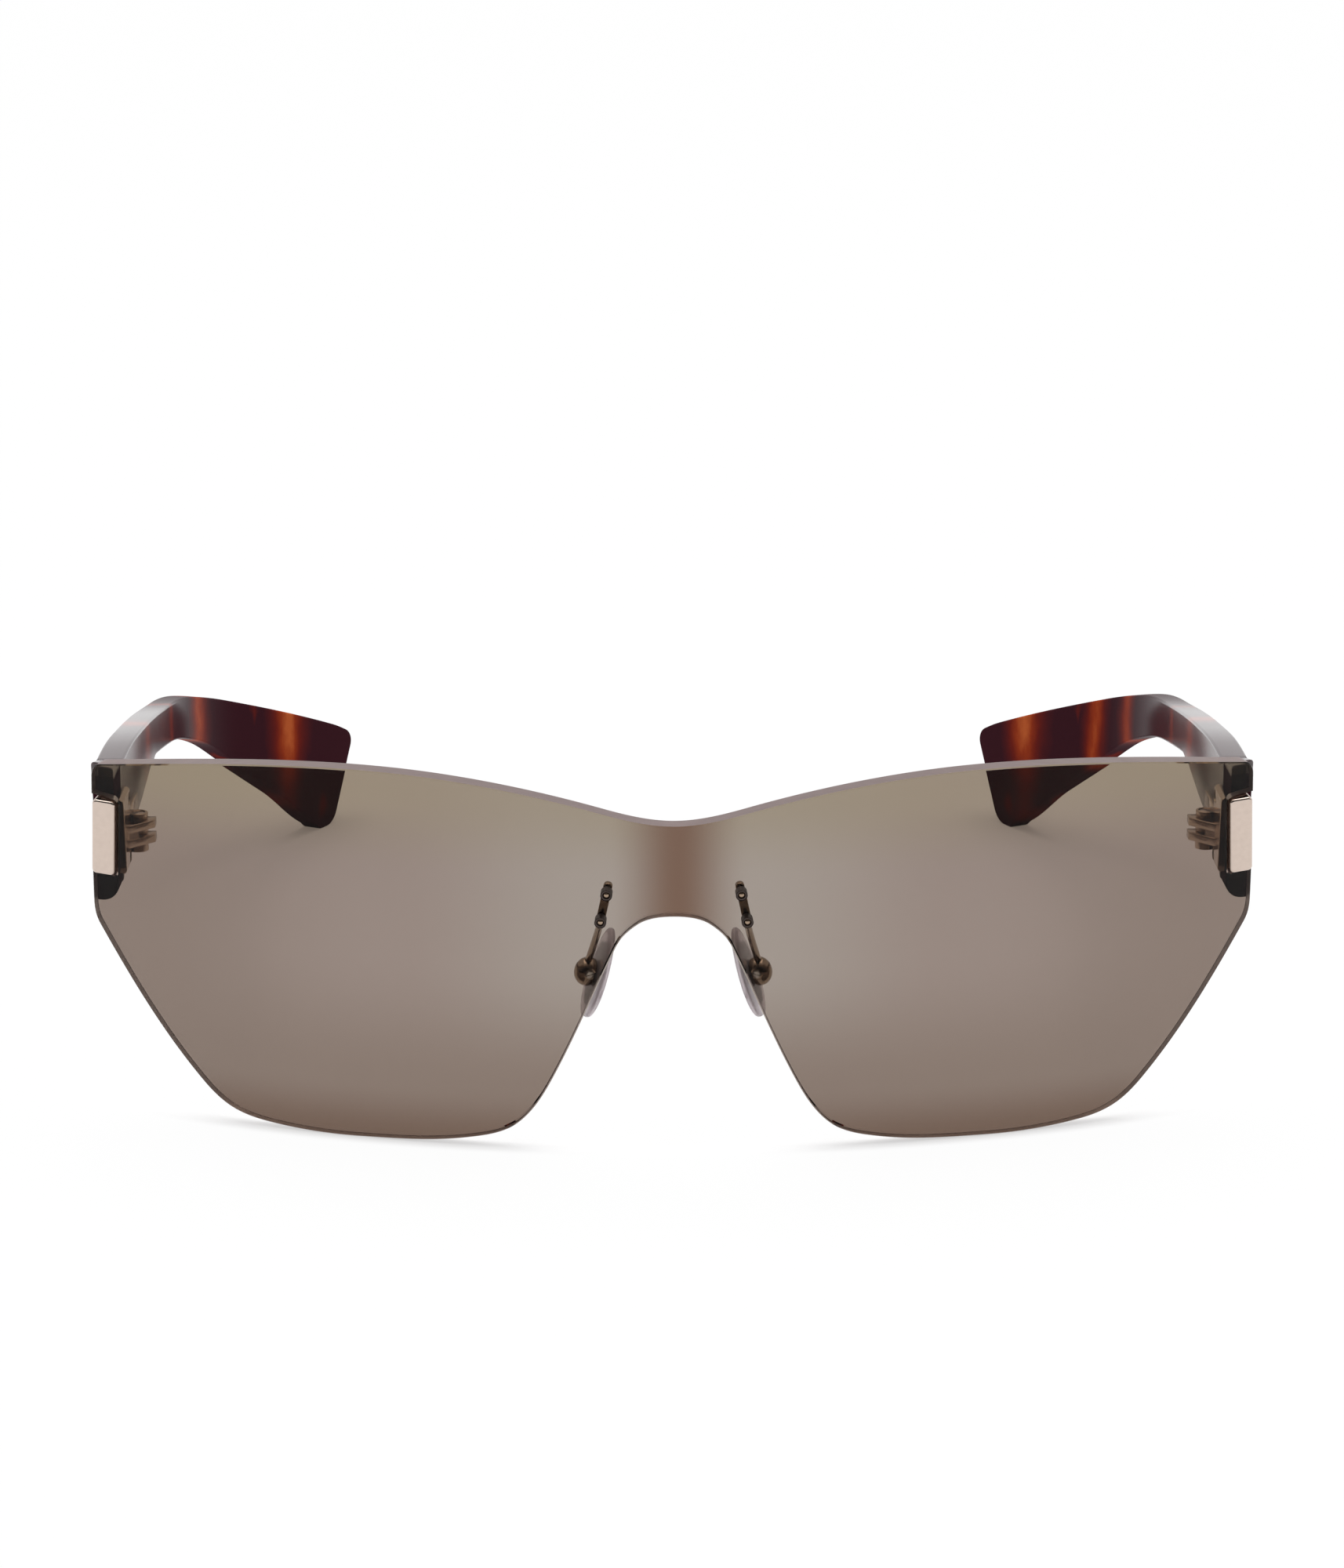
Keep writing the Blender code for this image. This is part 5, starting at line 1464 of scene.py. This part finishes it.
POCKET = (0.85 * MM, 0.95 * MM, 1.90 * MM)
SCREW_RECESS = 0.74 * MM
RECESS_LEVEL = 1.30 * MM
# The place of the box has X outboard, Y towards the face and Z up the pad.
PAD_SPLAY = math.radians(14.5)
PAD_SLANT = math.radians(17.5)
BAR_RIM = (0.16 * MM, 50.0)
BOX_RIM = (0.05 * MM, 40.0)
SLOT_CORNER = 0.1 * MM
SLEEVE_RIM = 0.06 * MM
SLEEVE_LIP = 0.03 * MM
CROSS_SCREW = (0.55 * MM, 0.30 * MM)
CROSS_LENGTH = 2.8 * MM
CROSS_START = -RECESS_LEVEL - HEAD_HEIGHT * 1.1

upper_pin = np.array(ARM_PINS[0])
lower_pin = np.array(ARM_PINS[1])
bar_run = (upper_pin - lower_pin) / np.linalg.norm(upper_pin - lower_pin)
bar_seat = LENS_THICKNESS + SEAT_GAP
pad_place = (
    Matrix.Translation(BOX_CENTRE)
    @ Matrix.Rotation(-PAD_SPLAY, 4, "Z")
    @ Matrix.Rotation(-PAD_SLANT, 4, "Y")
)


def wire_rows(sides=28, steps=44):
    """Rings of the wire: a circle carried square to a quadratic Bezier curve."""
    foot = lower_pin - bar_run * WIRE_FOOT
    start = on_lens(foot[0], foot[1], bar_seat + BAR_THICKNESS / 2)
    bend = start + np.array([0.0, WIRE_RISE, -WIRE_RISE / 2])
    end = np.array(BOX_CENTRE) + np.array([0.0, 0.0, BOX_RADIUS * BOX_WIRE_SHARE])
    share = np.linspace(0.0, 1.0, steps)[:, None]
    path = (1 - share) ** 2 * start + 2 * (1 - share) * share * bend + share**2 * end
    run = np.gradient(path, axis=0)
    run /= np.linalg.norm(run, axis=1)[:, None]
    first = np.cross(run, [1.0, 0.0, 0.0])
    first /= np.linalg.norm(first, axis=1)[:, None]
    second = np.cross(run, first)
    turn = circle(sides)[None, :, None]
    ring = np.cos(turn) * first[:, None] + np.sin(turn) * second[:, None]
    return path[:, None] + WIRE_RADIUS * ring


def pin_profile():
    """Profile of a pin whose front end is a low dome just inside the lens face."""
    angle = np.linspace(0.0, math.pi / 2 - SMALL_POLE_GAP, 8)
    level = -SLEEVE_RECESS - PIN_DOME * (1.0 - np.sin(angle))
    dome = np.column_stack([PIN_RADIUS * np.cos(angle), level])
    return np.concatenate([[(PIN_RADIUS, -bar_seat - BAR_THICKNESS / 2)], dome])


print("bar run", [round(float(part), 3) for part in bar_run])

# %% Pad arms and sleeves


def bar_and_wire(side):
    """Shells of the bar behind the lens, the bent wire and the two pins."""
    half_length = np.linalg.norm(upper_pin - lower_pin) / 2 + BAR_OVERHANG
    tilt = Matrix.Rotation(math.atan2(-bar_run[0], bar_run[1]), 4, "Z")
    outline = rounded_outline(BAR_WIDTH / 2, half_length, BAR_CORNER, steps=12)
    grid = levelled(outline, (-bar_seat - BAR_THICKNESS, -bar_seat))
    seat = lens_frame(*(upper_pin + lower_pin) / 2) @ tilt
    shells = [softened(skin(grid, side, seat), *BAR_RIM), skin(wire_rows(), side)]
    pin_rows = lathe(pin_profile(), sides=32)
    return shells + [skin(pin_rows, side, lens_frame(*pin)) for pin in (upper_pin, lower_pin)]


def pad_box(side):
    """Ball that is cut flat towards the pad, with a slot for its tab and a screw recess."""
    angle = np.linspace(POLE_GAP, math.pi - POLE_GAP, 48)
    profile = np.column_stack([np.sin(angle), -np.cos(angle) * BOX_STRETCH_SHARE])
    ball = lathe(profile, sides=72)
    ball = skin(ball * BOX_RADIUS, side, pad_place)
    reach = BOX_RADIUS * 2
    flat = levelled(rounded_outline(BOX_RADIUS, reach, BOX_RADIUS / 4), (-reach, reach))
    flat_place = Matrix.Translation((-BOX_CUT - BOX_RADIUS, 0.0, 0.0))
    depth, width, height = POCKET
    slot = block_outline(-reach, depth, -width / 2, width / 2, SLOT_CORNER, steps=4)
    slot = levelled(slot, (-height / 2, height / 2))
    recess = lathe([(SCREW_RECESS, -reach), (SCREW_RECESS, -RECESS_LEVEL)], sides=48)
    recess_turn = Matrix.Rotation(-math.pi / 2, 4, "X")
    tools = ((flat, flat_place), (slot, Matrix()), (recess, recess_turn))
    cut(ball, [skin(grid, side, pad_place @ place) for grid, place in tools])
    return softened(ball, *BOX_RIM)


def sleeve_rows():
    """Rings of a sleeve's wall, a closed profile turned about the pin."""
    back = -LENS_THICKNESS + SLEEVE_RECESS
    front = -SLEEVE_RECESS
    return lathe([
        (SLEEVE_INNER, back), (SLEEVE_OUTER, back), (SLEEVE_OUTER, front - SLEEVE_RIM),
        (SLEEVE_OUTER - SLEEVE_RIM, front), (SLEEVE_INNER + SLEEVE_LIP, front),
        (SLEEVE_INNER, front - SLEEVE_LIP),
    ], sides=40)


for side, name in SIDES:
    piece = merged(f"{name}_bent_arm", [*bar_and_wire(side), pad_box(side)])
    dress(piece, "front", "pale_gold", arm_painted_shade_finish, f"{name}_pad_arm")
    for place, pin in (("upper", upper_pin), ("lower", lower_pin)):
        label = f"{name}_clear_sleeve_{place}"
        piece = skin(sleeve_rows(), side, lens_frame(*pin), label, looped=True)
        dress(piece, "front", "nylon", nylon_and_painted_shade_finish, f"{name}_pad_sleeve_{place}")
    start = aimed((0.0, CROSS_START, 0.0), (0, 1, 0))
    add_screw(
        f"{name}_cross_screw", pad_place @ start, side, CROSS_SCREW, CROSS_LENGTH,
        ("front", "steel", steel_finish, f"{name}_pad_screw"), slots=2,
    )
print("pad arms made")

# %% [markdown]
# ## Nose pads
#
# A pad is clear silicone moulded round a metal insert, whose near-black is partly its own dark
# metal and partly painted shade of the pad behind the lens. Its outline is an egg, and its section
# is a superellipse, fuller than a circle, so the faces stay nearly flat and the rim is round. The
# insert is embedded without a gap, because silicone grips what it is moulded on.

# %% Pad surfaces
PAD_FACE = -BOX_CUT - 0.22 * MM
PAD_HALF_WIDTH = 3.4 * MM
PAD_HALF_HEIGHT = 6.1 * MM
PAD_THICKNESS = 1.2 * MM
PAD_TAPER_SHARE = 0.18
PAD_FULLNESS = 3.5
INSERT_HALF_WIDTH = 2.2 * MM
INSERT_HALF_HEIGHT = 4.2 * MM
INSERT_THICKNESS = 0.35 * MM
INSERT_SINK = 0.1 * MM
INSERT_FULLNESS = 6.0
TAB_REACH = 0.55 * MM
TAB_SINK = 0.2 * MM
TAB_CORNER = 0.4 * MM
TAB_HALF_THICKNESS = 0.35 * MM


def pad_rows(half_width, half_height, thickness, taper, face, fullness, sides=96, steps=34):
    """Rings of an egg: size and depth follow |size|^n + |depth|^n = 1, and the width narrows
    with height by the taper."""
    angle = np.linspace(POLE_GAP, math.pi - POLE_GAP, steps)
    size = np.abs(np.sin(angle)) ** (2.0 / fullness)
    depth = np.sign(np.cos(angle)) * np.abs(np.cos(angle)) ** (2.0 / fullness)
    turn = circle(sides)
    narrow = 1.0 - taper * np.sin(turn)
    x = np.broadcast_to((face - thickness / 2 * (1.0 - depth))[:, None], (steps, sides))
    y = half_width * size[:, None] * (narrow * np.cos(turn))[None]
    z = half_height * size[:, None] * np.sin(turn)[None]
    return np.stack([x, y, z], -1)


pad = pad_rows(
    PAD_HALF_WIDTH, PAD_HALF_HEIGHT, PAD_THICKNESS, PAD_TAPER_SHARE, PAD_FACE, PAD_FULLNESS
)
plate = pad_rows(
    INSERT_HALF_WIDTH, INSERT_HALF_HEIGHT, INSERT_THICKNESS, 0.0, PAD_FACE - INSERT_SINK,
    INSERT_FULLNESS,
)
tab_sizes = (PAD_FACE - TAB_SINK, TAB_REACH, -TAB_REACH, TAB_REACH)
tab = levelled(
    block_outline(*tab_sizes, TAB_CORNER), (-TAB_HALF_THICKNESS, TAB_HALF_THICKNESS)
)
upright = pad_place @ Matrix.Rotation(math.pi / 2, 4, "X")
for side, name in SIDES:
    piece = skin(pad, side, pad_place, f"{name}_silicone_pad")
    dress(piece, f"{name}_pad", "clear_silicone", silicone_finish, f"{name}_nose_pad")
    shells = [skin(plate, side, pad_place), skin(tab, side, upright)]
    piece = merged(f"{name}_moulded_insert", shells)
    dress(piece, f"{name}_pad", "steel", insert_and_painted_shade_finish, f"{name}_pad_core")
print("pads made")

# %% [markdown]
# ## Cores of the temples
#
# The metal core inside each temple is hidden by the acetate. Its CAD mesh stays, in steel.

# %% Material of the hidden cores
for side, name in SIDES:
    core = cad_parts[f"{name}_temple_core"]
    core.data.materials.clear()
    core.data.materials.append(steel_finish)
print("cores in steel")
